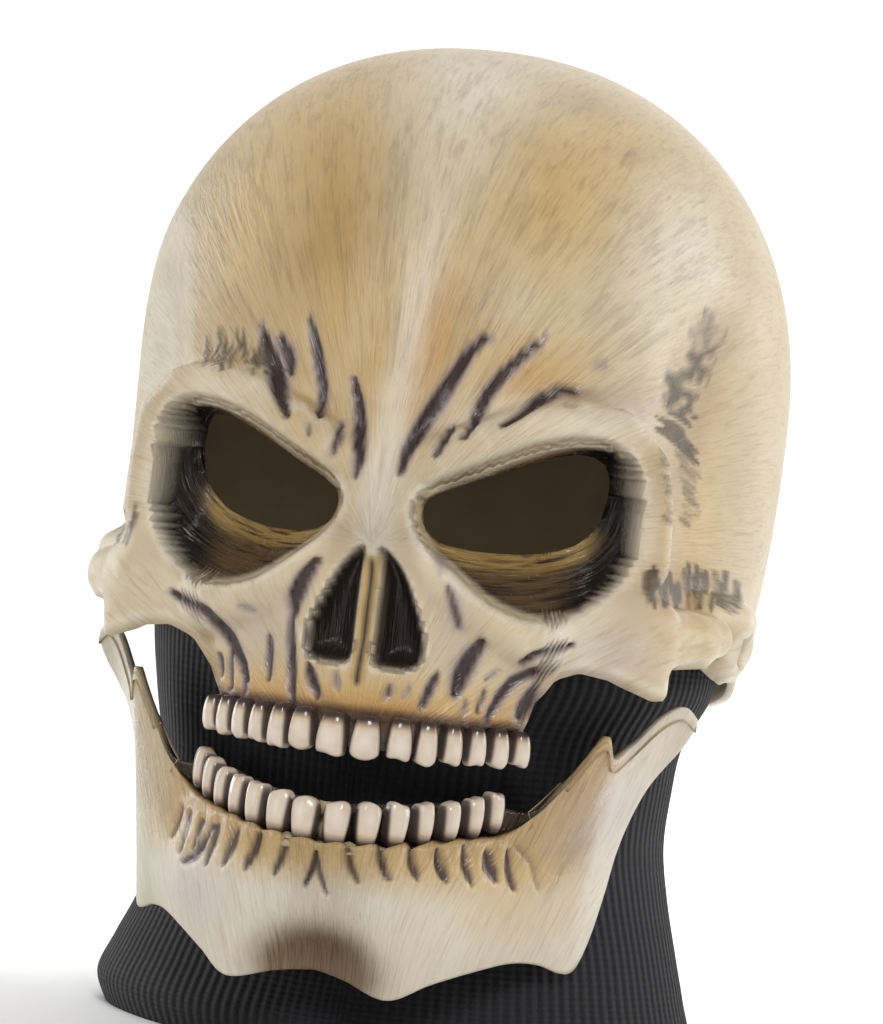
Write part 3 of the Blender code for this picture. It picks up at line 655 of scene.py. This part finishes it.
def painted_latex(name):
    """Paint from the mesh's attributes, broken up by streaks along its flow lines."""
    made, tree, shader = new_material(name)
    paint, flow = attribute(tree, "paint", "Color"), attribute(tree, "flow", "Vector")
    streak, wet, calm = attribute(tree, "streak"), attribute(tree, "wet"), attribute(tree, "calm")
    place_on = node(tree, "ShaderNodeTexCoord").outputs["Object"]
    brush, hair = stretched(tree, flow, (0.62, 0.045, 0.3)), stretched(tree, flow, (2.1, 0.10, 0.5))
    coarse = noise(tree, brush, 1.0, 4.0, Roughness=0.62, Distortion=0.25)
    fine = noise(tree, hair, 1.0, 3.0, Roughness=0.6, Distortion=0.2)
    mottle = noise(tree, place_on, 42.0, 5.0, Roughness=0.6)
    grain = noise(tree, place_on, 620.0, 3.0)
    dark_lines = times(tree, spread(tree, coarse, 0.50, 0.66), streak)
    shaded = blend_colour(tree, dark_lines, paint, (0.030, 0.021, 0.017))
    thin_lines = times(tree, spread(tree, fine, 0.50, 0.72, 0.0, 0.42), calm)
    shaded = blend_colour(tree, thin_lines, shaded, (0.62, 0.50, 0.36), "MULTIPLY")
    pale_lines = times(tree, spread(tree, fine, 0.36, 0.24, 0.0, 0.35), plus(tree, streak, 0.25))
    shaded = blend_colour(tree, pale_lines, shaded, (0.80, 0.72, 0.60))
    clouds = spread(tree, mottle, 0.38, 0.64, 0.0, 0.34)
    shaded = blend_colour(tree, clouds, shaded, (0.80, 0.70, 0.55), "MULTIPLY")
    dry = spread(tree, grain, 0.3, 0.7, 0.38, 0.50)
    tree.links.new(maths(tree, "SUBTRACT", dry, times(tree, wet, 0.27)), shader.inputs["Roughness"])
    height = times(tree, coarse, plus(tree, times(tree, streak, 1.3), 0.22))
    height = times(tree, plus(tree, height, times(tree, fine, 0.26)), calm)
    height = plus(tree, height, times(tree, grain, 0.05))
    dress(tree, shader, shaded, height, 0.9, 0.0013)
    return made


def plain_latex(name):
    """The unpainted inside of the shells."""
    made, tree, shader = new_material(name, 0.6)
    mottle = noise(tree, node(tree, "ShaderNodeTexCoord").outputs["Object"], 60.0, 4.0)
    tone = blend_colour(tree, mottle, (0.55, 0.45, 0.28), (0.42, 0.33, 0.19))
    dress(tree, shader, tone, mottle, 0.3, 0.001)
    return made


def skull_grid():
    """Columns round the skull, finest at the front, and rows from the hem up over the dome."""
    front = np.arange(0, FRONT_SPAN, FRONT_STEP)
    side = np.arange(FRONT_SPAN, SIDE_SPAN, SIDE_STEP)
    back = np.arange(SIDE_SPAN, 180, BACK_STEP)
    half = np.concatenate([front, side, back])
    columns = np.concatenate([-np.array([180.0]), -half[:0:-1], half])
    hem = np.interp(np.abs(columns), *np.transpose(HEM)) - DOME_CENTRE[2]
    full_drop = DOME_CENTRE[2] - HEM[0][1]
    gum_rows = (DOME_CENTRE[2] - UPPER_GUM_Z + np.array([5.0, 2.6, 1.8, 1.0, 0.2])) / full_drop
    front_rows = np.linspace(gum_rows[-1] - 0.006, 0, FACE_ROWS - 6, endpoint=False)
    rows = np.concatenate([[1.0], gum_rows, front_rows])
    dome = 90 * np.linspace(0, 1, DOME_ROWS + 1) ** 1.12
    levels = np.hstack([hem[:, None] * rows, np.tile(dome, (len(columns), 1))])
    return np.repeat(columns[:, None], levels.shape[1], axis=1), levels


def socket_shape(x, y, z):
    """Signed distances to the socket's rim and to the eye hole, on the face alone."""
    far = np.full(len(x), 30.0)
    near = (np.abs(x) < SOCKET_SIDE) & (z < SOCKET_TOP) & (z > SOCKET_LOW) & (y < SOCKET_BACK)
    rim, hole = far.copy(), far.copy()
    rim[near] = outline_distance(np.abs(x[near]), z[near], rounded(SOCKET))
    hole[near] = outline_distance(np.abs(x[near]), z[near], rounded(EYE_HOLE))
    return rim, hole


def brush_hairs():
    """Short dark brush strokes: over the left brow, and fringing the right temple and its pit."""
    rng = np.random.default_rng(HAIR_SEED)
    rows = []
    for _ in range(34):
        x, z = rng.uniform(-53, -35), rng.uniform(15, 23)
        rows.append((rng.uniform(0.35, 0.85), rng.uniform(0.5, 0.9), ((x, z + 2.4), (x + 1.8, z - 2.2))))
    edge = np.array([(69, 44), (67, 34), (64.5, 26), (62.5, 19), (62.5, 13), (66, 8), (68, 0), (69, -10)])
    for t in np.sort(rng.uniform(0, len(edge) - 1.001, 90)):
        i = int(t)
        x, z = edge[i] + (edge[i + 1] - edge[i]) * (t - i) + rng.uniform(-1, 1.5, 2)
        strength = rng.uniform(0.5, 1.0) * (1.0 if 8 < z < 34 else 0.55)
        reach = rng.uniform(3, 7) if z > 8 else rng.uniform(2, 4)
        rows.append((strength, rng.uniform(0.6, 1.2), ((x, z), (x + reach * 0.75, z - reach * 0.6))))
    for side in (1, -1):
        for _ in range(40):
            x, z = side * rng.uniform(66, 84), rng.uniform(-31, -24)
            rows.append((rng.uniform(0.4, 0.9), rng.uniform(0.6, 1.1), ((x, z - 2), (x - side, z + 3.5))))
    return rows


def paint_over(tone, layers):
    """Blend colours over each other: each a setting's name, its brightness and the amount."""
    for name, shade, amount in layers:
        tone = mix(tone, colour(name) * shade, amount)
    return tone


def paint_socket(x, z, rim, hole, brow_side):
    """Colour of the eye sockets: dark, near black in the outer corners as painted shade under the brow,
    warmer under the eye hole and on the brow's side.
    """
    span = np.abs(x)
    return paint_over(np.tile(colour("umber") * 0.45, (len(x), 1)), (
        # Painted shade: near black in the socket's outer corner, under the brow's outer end.
        ("soot", 1, ramp(span, 40, 50)),
        ("ochre", 0.62, ramp(6.5 - hole, 0, 4) * ramp(-z, 12, 18) * ramp(54 - span, 0, 8)),
        ("soot", 1, ramp(3.2 + rim, 0, 3) * 0.85 * ramp(-z, 14, 26)),
        ("umber", 0.8, brow_side * ramp(4.5 + rim, 0, 4.5))))


def fan(x, y, z, rise, width):
    """Flow coordinates round a point rise millimetres below zero."""
    return np.column_stack([np.arctan2(x, z + rise) * width, np.hypot(x, z + rise), y * 0.3])


def skull_flow(x, y, z, rim, hole, nose):
    """Coordinates along the strokes of paint: over the skull, round the sockets, down the nose."""
    around = np.arctan2(z + 12, np.abs(x) - 31) * 22 + np.sign(x) * 90
    flow = np.where((z < FLOW_SPLIT)[:, None], fan(x, y, z, 85, 34), fan(x, y, z, 25, 62))
    flow = np.where((rim < 0.3)[:, None], np.column_stack([hole * 1.15, around, 0 * x]), flow)
    return np.where((nose > 0.2)[:, None], np.column_stack([x * 1.3, z, 0 * x + 9]), flow)


def paint_skull(p, hollow):
    """Attributes of the skull's surface, its creases and its distance to the eye holes."""
    x, y, z = p.T
    span = np.abs(x)
    rim, hole = socket_shape(x, y, z)
    front = ramp(-y, 15, 45)
    tone = np.tile(colour("bone"), (len(p), 1))
    # Lay the clouds; the sage clouds, painted shade on the left side, reach round to the back as well.
    for name, strength, *oval in SKULL_CLOUDS:
        amount = strength * cloud(x, z, *oval)
        tone = mix(tone, colour(name), amount * (front if name != "sage_shading" else 1.0))
    creases = stroke_field(x, z, SKULL_CREASES) * front
    hairs = stroke_field(x, z, brush_hairs()) * ramp(-y, 0, 20)
    # Painted shade: umber in the hollows and lilac round the creases; painted highlight: pale on the ridges.
    # Then the creases' dark colour and the temple's dark hairs.
    tone = paint_over(tone, (
        ("umber", 1, ramp(hollow, 0.04, 0.30) * 0.55), ("pale", 1, ramp(-hollow, 0.03, 0.16) * 0.6),
        ("lilac_shading", 1, ramp(creases, 0.02, 0.4) * 0.75), ("stain_and_shade", 1, ramp(creases, 0.22, 0.70)),
        ("olive", 1, ramp(hairs, 0.15, 0.75) * 0.9)))
    sunk = ramp(y - np.interp(span, *SOCKET_FRONT), 1.0, 4.5) * (rim < 2.6)
    inside = np.maximum(ramp(-rim, 0.0, 2.0), sunk)
    brow_side = ramp(z, -6, 4) * ramp(42 - span, 0, 8)
    tone = mix(tone, paint_socket(x, z, rim, hole, brow_side), inside)
    nose = ramp(-outline_distance(span, z, rounded(NOSTRIL)), -0.4, 1.6) * front
    septum = ramp(2.6 - span, 0, 0.8) * ramp(-z, 26, 29) * ramp(z, -61, -57) * front
    split = ramp(0.9 - np.abs(x - SEPTUM_X), 0, 0.5) * ramp(-z, 27, 30) * ramp(z, -60.5, -58.5) * front
    tone = paint_over(tone, (("soot", 1.6, nose), ("ochre", 0.8, septum), ("soot", 1, split),
                             # Painted shade and dirt: darker from where the upper teeth meet the gum down the
                             # strip behind them.
                             ("stain_and_shade", 1, ramp(-z, 63.6, 66.0) * front * 0.8)))
    wet = np.clip(ramp(creases, 0.1, 0.5) + inside * 0.8 + nose * 0.4 + ramp(-z, 54, 62) * 0.6, 0, 1)
    streak = np.clip(0.05 + 0.16 * ramp(z, 4, 30) * ramp(-y, 10, 60) + inside * (1 - 0.5 * brow_side) * 0.95
                     + nose * 0.6 + ramp(hairs, 0.05, 0.5) * 0.4, 0, 1)
    calm = np.where(inside > 0.5, 1.0, ramp(np.abs(z - FLOW_SPLIT), 1, 9))
    flow = skull_flow(x, y, z, rim, hole, nose)
    return {"paint": tone, "wet": wet, "streak": streak, "flow": flow, "calm": calm}, creases, hole


class SKULLMASK_OT_skull(bpy.types.Operator):
    """Build the painted skull shell"""
    bl_idname = "skull_mask.skull"
    bl_label = "Skull shell"

    def execute(self, context):
        turns, levels = skull_grid()
        points = skull_points(turns.ravel(), levels.ravel()).reshape(*turns.shape, 3)
        points[:, -1] = points[0, -1]
        normals = grid_normals(points, True)
        hollow = cavity(points, normals, True)
        attributes, creases, hole = paint_skull(points.reshape(-1, 3), hollow.ravel())
        depth = settings().crease_depth / MM * creases.reshape(turns.shape)
        split = np.exp(-((points[..., 0] - SEPTUM_X) / SPLIT_WIDTH) ** 2) * ramp(-points[..., 2], 26, 29)
        split *= ramp(points[..., 2], -61, -58) * (points[..., 1] < -60)
        shift = -depth - SPLIT_DEPTH * split
        shift[:, -1] = 0
        points += normals * shift[..., None]
        latex = [painted_latex("painted_latex"), plain_latex("plain_latex")]
        made = sheet_object("skull_shell", points, True, latex, attributes, keep=hole, close_top=True)
        add_wall(made, settings().latex_wall)
        finish_piece(made, "latex_bone", "skull")
        return {"FINISHED"}


def add_wall(made, thickness, inside=1):
    """Give an open sheet its wall, inwards, with the material that many slots on inside it."""
    wall = made.modifiers.new("wall", "SOLIDIFY")
    wall.thickness = thickness
    wall.offset = -1
    wall.material_offset = inside


def finish_piece(made, slot, *nodes):
    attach(made, "root")
    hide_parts(*nodes)


def smooth_rows(table, count):
    """Read a table of sections at evenly spaced places on a smooth curve through them."""
    rows = np.asarray(table, float)
    at = np.linspace(0, len(rows) - 1, count)
    i = np.minimum(at.astype(int), len(rows) - 2)
    return curve_through(rows[np.maximum(i - 1, 0)], rows[i], rows[i + 1],
                         rows[np.minimum(i + 2, len(rows) - 1)], (at - i)[:, None])


def jaw_pose(points):
    """Hang the jaw: turn it about its joint's height and shift it sideways."""
    x, y, z = np.moveaxis(np.asarray(points, float), -1, 0)
    turned_x = x * math.cos(JAW_TILT) + (z - JAW_PIVOT_Z) * math.sin(JAW_TILT) + JAW_SHIFT
    turned_z = -x * math.sin(JAW_TILT) + (z - JAW_PIVOT_Z) * math.cos(JAW_TILT) + JAW_PIVOT_Z
    return np.stack([turned_x, y, turned_z], axis=-1)


def jaw_surface():
    """Outer surface of the right half of the jaw: columns of points from the lower edge up."""
    sections = smooth_rows(JAW_SECTIONS, JAW_COLUMNS)
    low, high = sections[:, 0:3], sections[:, 3:6]
    middle = (low + high) / 2
    along = np.gradient(middle, axis=0)
    outward = np.cross(along, high - low)
    outward /= np.linalg.norm(outward, axis=1)[:, None]
    v = np.linspace(0, 1, JAW_ROWS + 1)[None, :, None]
    bulge = sections[:, 6][:, None, None] * 4 * v * (1 - v)
    wall = low[:, None] * (1 - v) + high[:, None] * v + outward[:, None] * bulge
    chin = np.exp(-(wall[..., 0] / 13) ** 2 - ((wall[..., 2] + 128) / 9) ** 2)
    wall[..., 1] += 7.0 * chin
    rim = np.gradient(high, axis=0)
    inward = np.column_stack([rim[:, 1] * -1, rim[:, 0], 0 * rim[:, 0]])
    inward /= np.linalg.norm(inward, axis=1)[:, None]
    rows = [wall]
    for t in (0.15, 0.4, 0.7, 1.0):
        rows.append((high + inward * (GUM_LEDGE * t * sections[:, 7])[:, None])[:, None])
    ledge = rows[-1][:, 0]
    for t in (0.1, 0.35, 0.7, 1.0):
        rows.append((ledge + [0, 0, 1] * sections[:, 8][:, None] * t)[:, None])
    return np.concatenate(rows, axis=1)


def jaw_creases():
    """Dark furrows between the roots of the lower teeth, leaning outwards as they run down."""
    rng = np.random.default_rng(FURROW_SEED)
    rows = []
    for edge in [0.0] + [centre + width / 2 for centre, width, *_ in LOWER_TEETH]:
        for side in (-1, 1):
            x = side * edge + JAW_SHIFT - 1.0
            top = -100.5 + 0.1 * edge + rng.uniform(-1, 1)
            drop = rng.uniform(7, 10.5)
            rows.append((rng.uniform(0.7, 1.0), rng.uniform(1.1, 1.8),
                         ((x, top), (x + side * 0.8, top - drop / 2), (x + side * 2.6, top - drop))))
    return rows + [(0.9, 1.6, ((-33, -99), (-38, -107), (-43, -110))),
                   (0.5, 1.2, ((40, -96), (44, -100), (46, -107))),
                   (0.4, 1.3, ((58, -86), (55, -94), (50, -103))),
                   (0.35, 1.0, ((66, -72), (60, -80), (57, -88)))]


def root_ridges(points):
    """Low ridges of bone over the roots of the lower teeth, in mm."""
    x, y, z = np.moveaxis(points, -1, 0)
    span = np.abs(x - JAW_SHIFT)
    ridges = np.zeros(x.shape)
    for centre, width, *_ in LOWER_TEETH:
        ridges = np.maximum(ridges, np.exp(-((span - centre) / (width * 0.34)) ** 2))
    return 1.1 * ridges * ramp(z, -112, -102) * ramp(-z, 93, 97) * (y < -60)


def paint_jaw(points, hollow):
    """Attributes and creases of the jaw's surface."""
    flat = points.reshape(-1, 3)
    x, y, z = flat.T
    front = ramp(-y, 45, 62)
    creases = stroke_field(x, z, jaw_creases()) * ramp(-y, 20, 40)
    gum = ramp(z, -113, -101) * front
    # The chin's hollow between its two knobs, where shade is painted in colour and streaks.
    chin = ramp(cloud(x, z, JAW_SHIFT, -131, 19, 13), 0.22, 0.75) * front
    behind = np.zeros(points.shape[:2])
    behind[:, JAW_ROWS + 2:] = 1.0
    behind = behind.ravel() * ramp(-y, 60, 72)
    tone = paint_over(np.tile(colour("pale") * 0.9, (len(flat), 1)), (
        # Ochre gums; the umber darkening up to the lower teeth is painted shade and dirt where they meet the
        # gum.
        ("ochre", 1, gum * 0.85), ("umber", 1, ramp(z, -104, -96) * front * 0.35),
        ("ochre", 1, 0.5 * cloud(x, z, 40, -112, 12, 9)),
        # Painted shade: lilac on the chin's left and up the jaw's right side, sage on the jaw's left side.
        ("lilac_shading", 1, 0.45 * cloud(x, z, -38, -116, 12, 10)),
        ("lilac_shading", 1, 0.4 * cloud(x, z, 58, -88, 9, 16, 0.4)), ("sage_shading", 1, ramp(-x, 44, 60) * 0.45),
        # Painted shade: umber in the hollows and in the chin's hollow.
        ("umber", 1, ramp(hollow.ravel(), 0.03, 0.25) * 0.5), ("umber", 0.7, chin * 0.95),
        ("stain_and_shade", 1, ramp(creases, 0.25, 0.8) * 0.95), ("soot", 1, behind)))
    wet = np.clip(gum * 0.8 + behind * 1.2 + ramp(creases, 0.1, 0.5) * 0.5, 0, 1)
    # Dark streaks gather in the chin's hollow as part of its painted shade.
    streak = np.clip(0.06 + 0.5 * chin + 0.2 * gum, 0, 1)
    flow = np.column_stack([x * 1.1 - 0.4 * z * np.tanh(x / 12), z, y * 0.3])
    attributes = {"paint": tone, "wet": wet, "streak": streak, "flow": flow, "calm": np.ones(len(tone))}
    return attributes, creases.reshape(points.shape[:2])


class SKULLMASK_OT_jaw(bpy.types.Operator):
    """Build the painted jaw shell"""
    bl_idname = "skull_mask.jaw"
    bl_label = "Jaw shell"

    def execute(self, context):
        half = jaw_surface()
        half[0, :, 0] = 0.0
        points = jaw_pose(np.concatenate([half[:0:-1] * [-1, 1, 1], half]))
        normals = grid_normals(points, False)
        attributes, creases = paint_jaw(points, cavity(points, normals, False))
        points += normals * (root_ridges(points) - settings().crease_depth / MM * creases)[..., None]
        latex = [painted_latex("painted_jaw"), plain_latex("plain_jaw")]
        made = sheet_object("jaw_shell", points, False, latex, attributes)
        add_wall(made, settings().latex_wall)
        finish_piece(made, "latex_bone", "jaw")
        return {"FINISHED"}


def tooth_material():
    made, tree, shader = new_material("enamel", 0.22)
    mottle = noise(tree, node(tree, "ShaderNodeTexCoord").outputs["Object"], 260.0, 4.0)
    spots = spread(tree, mottle, 0.45, 0.75, 0.0, 0.4)
    tone = blend_colour(tree, spots, attribute(tree, "paint", "Color"), (0.78, 0.66, 0.58), "MULTIPLY")
    dress(tree, shader, tone, mottle, 0.25, 0.0008)
    shader.inputs["Coat Weight"].default_value = 0.3
    shader.inputs["Coat Roughness"].default_value = 0.1
    return made


class SKULLMASK_OT_teeth(bpy.types.Operator):
    """Build both rows of teeth"""
    bl_idname = "skull_mask.teeth"
    bl_label = "Teeth"

    def execute(self, context):
        enamel = tooth_material()
        rng = np.random.default_rng(TOOTH_SEED)
        for row, table, arch in (("upper", UPPER_TEETH, UPPER_ARCH), ("lower", LOWER_TEETH, LOWER_ARCH)):
            meshes, tones, faces, start = [], [], [], 0
            for x, width, first_z, second_z in table:
                root_z, tip_z = (first_z, second_z) if row == "upper" else (second_z, first_z)
                for sign in (1, -1):
                    points, quads, tone = tooth_shape(sign * x, width, root_z, tip_z, arch, rng)
                    meshes.append(jaw_pose(points) if row == "lower" else points)
                    tones.append(tone)
                    faces.append(quads + start)
                    start += len(points)
            made = mesh_object(row + "_teeth", np.concatenate(meshes), np.concatenate(faces), [enamel],
                               {"paint": np.concatenate(tones)})
            nodes = [f"{row}_tooth_{side}_{n}" for side in ("right", "left") for n in range(1, 8)]
            finish_piece(made, "tooth", *nodes)
        return {"FINISHED"}


def cube_sphere(cuts):
    """Vertices and quads of a cube whose faces are cut into a grid, from -1 to 1."""
    bm = bmesh.new()
    bmesh.ops.create_cube(bm, size=2.0)
    bmesh.ops.subdivide_edges(bm, edges=bm.edges[:], cuts=cuts, use_grid_fill=True)
    bm.verts.index_update()
    points = np.array([v.co[:] for v in bm.verts])
    quads = np.array([[v.index for v in f.verts] for f in bm.faces])
    bm.free()
    return points, quads


def tooth_shape(centre, width, root_z, tip_z, arch, rng):
    """One tooth: a rounded block, narrow at the gum, domed to the front, its edge a little worn."""
    cube, quads = cube_sphere(TOOTH_CUTS)
    reach = (np.abs(cube) ** TOOTH_SQUARENESS).sum(axis=1) ** (1 / TOOTH_SQUARENESS)
    a, d, h = (cube / reach[:, None]).T
    tipward = (h + 1) / 2
    half = (width - TOOTH_GAP) / 2 * (0.74 + 0.30 * np.sin(np.clip(tipward * 1.9, 0, np.pi / 2)))
    lean = rng.uniform(-0.25, 0.25)
    across = a * half + lean * tipward
    front = -0.9 * (1 - a * a) - 0.5 * np.sin(np.pi * np.clip(tipward, 0, 1)) * (d < 0)
    back = (d + 1) / 2 * TOOTH_DEPTH * (1 - 0.35 * tipward) + front * (1 - (d + 1) / 2) + 0.9
    back = back + 0.12 * np.cos(a * 7.0 + rng.uniform(0, 3)) * (d < -0.3) * tipward
    wear = 0.35 * np.sin(a * 3 + rng.uniform(0, 6)) * (tipward > 0.9)
    height = (1 - tipward) * root_z + tipward * (tip_z + wear * (1 if root_z > tip_z else -1))
    middle, curvature = arch
    turn = math.atan(2 * curvature * centre) + rng.uniform(-0.06, 0.06)
    x = centre + across * math.cos(turn) - back * math.sin(turn)
    y = middle + curvature * centre ** 2 + across * math.sin(turn) + back * math.cos(turn)
    points = np.column_stack([x, y, height])
    if root_z > tip_z:
        quads = quads[:, ::-1]
    tone = np.tile(colour("enamel"), (len(points), 1))
    tone = mix(tone, np.array([0.50, 0.33, 0.16]), ramp(0.42 - tipward, 0, 0.3) * 0.8)
    # Painted shade and dirt where the tooth meets the gum.
    tone = mix(tone, colour("stain_and_shade"), ramp(0.30 - tipward, 0, 0.2))
    tone = mix(tone, colour("stain_and_shade"), ramp(np.abs(a), 0.80, 0.98) * 0.9)
    # Painted highlight on the front of the tooth.
    painted_highlight = np.exp(-(a / 0.5) ** 2 - ((tipward - 0.65) / 0.25) ** 2)
    return points, quads, mix(tone, np.array([0.86, 0.78, 0.66]), painted_highlight * 0.5)


def knit_material():
    made, tree, shader = new_material("rib_knit", 0.85)
    uv = node(tree, "ShaderNodeUVMap", uv_map="UVMap").outputs["UV"]
    split = node(tree, "ShaderNodeSeparateXYZ", {0: uv})
    ribs = maths(tree, "SINE", times(tree, split.outputs[0], math.tau / settings().rib_pitch))
    ribs = times(tree, ribs, 0.5)
    stitch = times(tree, split.outputs[1], math.tau / STITCH_PITCH)
    stitches = maths(tree, "SINE", plus(tree, stitch, maths(tree, "ABSOLUTE", ribs)))
    fuzz = times(tree, noise(tree, uv, 700.0, 3.0), 0.25)
    height = plus(tree, plus(tree, ribs, times(tree, stitches, 0.18)), fuzz)
    # Painted shade in the valleys between the ribs and painted highlight on their tops: the colour follows
    # the ribs' height.
    dark, light = tuple(colour("knit") * 0.4), tuple(colour("knit") * 1.3)
    tone = blend_colour(tree, spread(tree, height, -0.4, 0.7), dark, light)
    dress(tree, shader, tone, height, 0.8, 0.0006)
    shader.inputs["Sheen Weight"].default_value = 0.02
    shader.inputs["Sheen Roughness"].default_value = 0.5
    return made


class SKULLMASK_OT_neck_knit(bpy.types.Operator):
    """Build the ribbed neck tube"""
    bl_idname = "skull_mask.neck_knit"
    bl_label = "Neck knit"

    def execute(self, context):
        sections = smooth_rows(KNIT_SECTIONS[::-1], KNIT_ROWS)
        turn = np.linspace(0, math.tau, KNIT_SEGMENTS, endpoint=False)[:, None]
        z, middle, half_width, widest, front, back = sections.T[:, None]
        ahead = np.cos(turn) > 0
        power = np.where(ahead, 2 / KNIT_ROUNDNESS, 1.0)
        x = middle + half_width * np.sign(np.sin(turn)) * np.abs(np.sin(turn)) ** power
        y = widest + np.where(ahead, front - widest, back - widest) * np.abs(np.cos(turn)) ** power
        points = np.stack([x, y, z + 0 * turn], axis=2)
        made = sheet_object("neck_knit_cloth", points, True, [knit_material()], {})
        lay_uv(made, points)
        add_wall(made, settings().knit_wall, inside=0)
        finish_piece(made, "knit", "neck_knit")
        return {"FINISHED"}


def lay_uv(made, points):
    """Unroll the tube in metres, with a whole number of ribs round it."""
    pitch = settings().rib_pitch
    around = np.linalg.norm(np.diff(points[:, KNIT_ROWS // 2], axis=0), axis=1).sum() * MM
    loops = np.empty(len(made.data.loops), np.int32)
    made.data.loops.foreach_get("vertex_index", loops)
    column, row = np.divmod(loops, KNIT_ROWS)
    corner = (column / KNIT_SEGMENTS).reshape(-1, 3)
    wraps = (corner.max(axis=1) - corner.min(axis=1)) > 0.5
    corner[wraps] += (corner[wraps] < 0.5)
    u = corner.ravel() * round(around / pitch) * pitch
    v = row / (KNIT_ROWS - 1) * KNIT_LENGTH
    layer = made.data.uv_layers.new(name="UVMap")
    layer.data.foreach_set("uv", np.column_stack([u, v]).astype(np.float32).ravel())


class SKULLMASK_OT_stage(bpy.types.Operator):
    """Set the backdrop, lights and camera"""
    bl_idname = "skull_mask.stage"
    bl_label = "Stage"

    def execute(self, context):
        backdrop()
        for light in LIGHTS:
            softbox(*light)
        world = bpy.data.worlds.new("studio")
        world.use_nodes = True
        tree = world.node_tree
        sky = tree.nodes["Background"].inputs
        sky[0].default_value = (1.0, 1.0, 1.0, 1.0)
        seen = node(tree, "ShaderNodeLightPath").outputs["Is Camera Ray"]
        tree.links.new(plus(tree, times(tree, seen, WORLD_SEEN), WORLD_LIGHT), sky[1])
        context.scene.world = world
        context.scene.view_settings.view_transform = "Standard"
        camera()
        return {"FINISHED"}


def backdrop():
    """A pale floor that curves up behind the mask, with a light of its own."""
    floor = CAD_BOX[0][2]
    profile = [(FLOOR_FRONT, 0.0), (FLOOR_BACK, 0.0)]
    for step in range(1, BEND_STEPS + 1):
        angle = step / BEND_STEPS * math.pi / 2
        rise = BEND_RADIUS - BEND_RADIUS * math.cos(angle)
        profile.append((FLOOR_BACK + BEND_RADIUS * math.sin(angle), rise))
    profile.append((FLOOR_BACK + BEND_RADIUS, WALL_TOP))
    verts = [(x, y, floor + z) for y, z in profile for x in (-FLOOR_SIDE, FLOOR_SIDE)]
    faces = [(2 * i, 2 * i + 1, 2 * i + 3, 2 * i + 2) for i in range(len(profile) - 1)]
    mesh = bpy.data.meshes.new("backdrop")
    mesh.from_pydata(verts, [], faces)
    mesh.shade_smooth()
    paper, _, shader = new_material("backdrop_paper", 0.9)
    shader.inputs["Base Color"].default_value = (0.93, 0.93, 0.93, 1)
    mesh.materials.append(paper)
    board = add_object("backdrop", mesh)
    light = softbox("backdrop_light", (0.0, 0.6, 1.2), 1.6, 42.0)
    light.rotation_euler = Vector((0, 1.0, -0.7)).to_track_quat("-Z", "Y").to_euler()


def softbox(name, at, size, power):
    lamp = bpy.data.lights.new(name, "AREA")
    lamp.energy = power
    lamp.size = size
    made = add_object(name, lamp)
    made.location = Vector(at) + LIGHT_DROP
    made.rotation_euler = (-Vector(at)).to_track_quat("-Z", "Y").to_euler()
    return made


def camera():
    """The photograph's view: a long lens a little to the right, rolled as the photograph is."""
    lens = bpy.data.cameras.new("camera")
    lens.sensor_width = 36.0
    lens.lens = FOCAL_PIXELS / PHOTO_HEIGHT * lens.sensor_width
    made = add_object("camera", lens)
    back = Vector((math.sin(VIEW_YAW), -math.cos(VIEW_YAW), 0))
    right = Vector((math.cos(VIEW_YAW), math.sin(VIEW_YAW), 0))
    up = Vector((0, 0, 1))
    across = right * math.cos(VIEW_ROLL) + up * math.sin(VIEW_ROLL)
    upward = up * math.cos(VIEW_ROLL) - right * math.sin(VIEW_ROLL)
    at = back * VIEW_DISTANCE - across * VIEW_OFFSET[0] - upward * VIEW_OFFSET[1] - Vector(ORIGIN * MM)
    made.matrix_world = Matrix.Translation(at) @ Matrix((across, upward, back)).transposed().to_4x4()
    bpy.context.scene.camera = made


class SKULLMASK_PT_panel(bpy.types.Panel):
    """Lists the mask's pieces"""
    bl_idname = "SKULLMASK_PT_panel"
    bl_label = "Skull mask"
    bl_space_type = "VIEW_3D"
    bl_region_type = "UI"
    bl_category = "Skull mask"

    def draw(self, context):
        for key in SkullMaskSettings.__annotations__:
            self.layout.prop(context.scene.skull_mask, key)
        for piece in OPERATORS:
            self.layout.operator(piece.bl_idname)


OPERATORS = (SKULLMASK_OT_skull, SKULLMASK_OT_jaw, SKULLMASK_OT_teeth, SKULLMASK_OT_neck_knit,
             SKULLMASK_OT_stage)
CLASSES = (SkullMaskSettings, *OPERATORS, SKULLMASK_PT_panel)


def register():
    for entry in CLASSES:
        bpy.utils.register_class(entry)
    bpy.types.Scene.skull_mask = bpy.props.PointerProperty(type=SkullMaskSettings)


def unregister():
    del bpy.types.Scene.skull_mask
    for entry in reversed(CLASSES):
        bpy.utils.unregister_class(entry)


def main():
    register()
    bpy.ops.object.select_all(action="DESELECT")
    bpy.ops.skull_mask.skull()
    bpy.ops.skull_mask.jaw()
    bpy.ops.skull_mask.teeth()
    bpy.ops.skull_mask.neck_knit()
    bpy.ops.skull_mask.stage()
    bpy.context.view_layer.update()


if __name__ == "__main__":
    main()
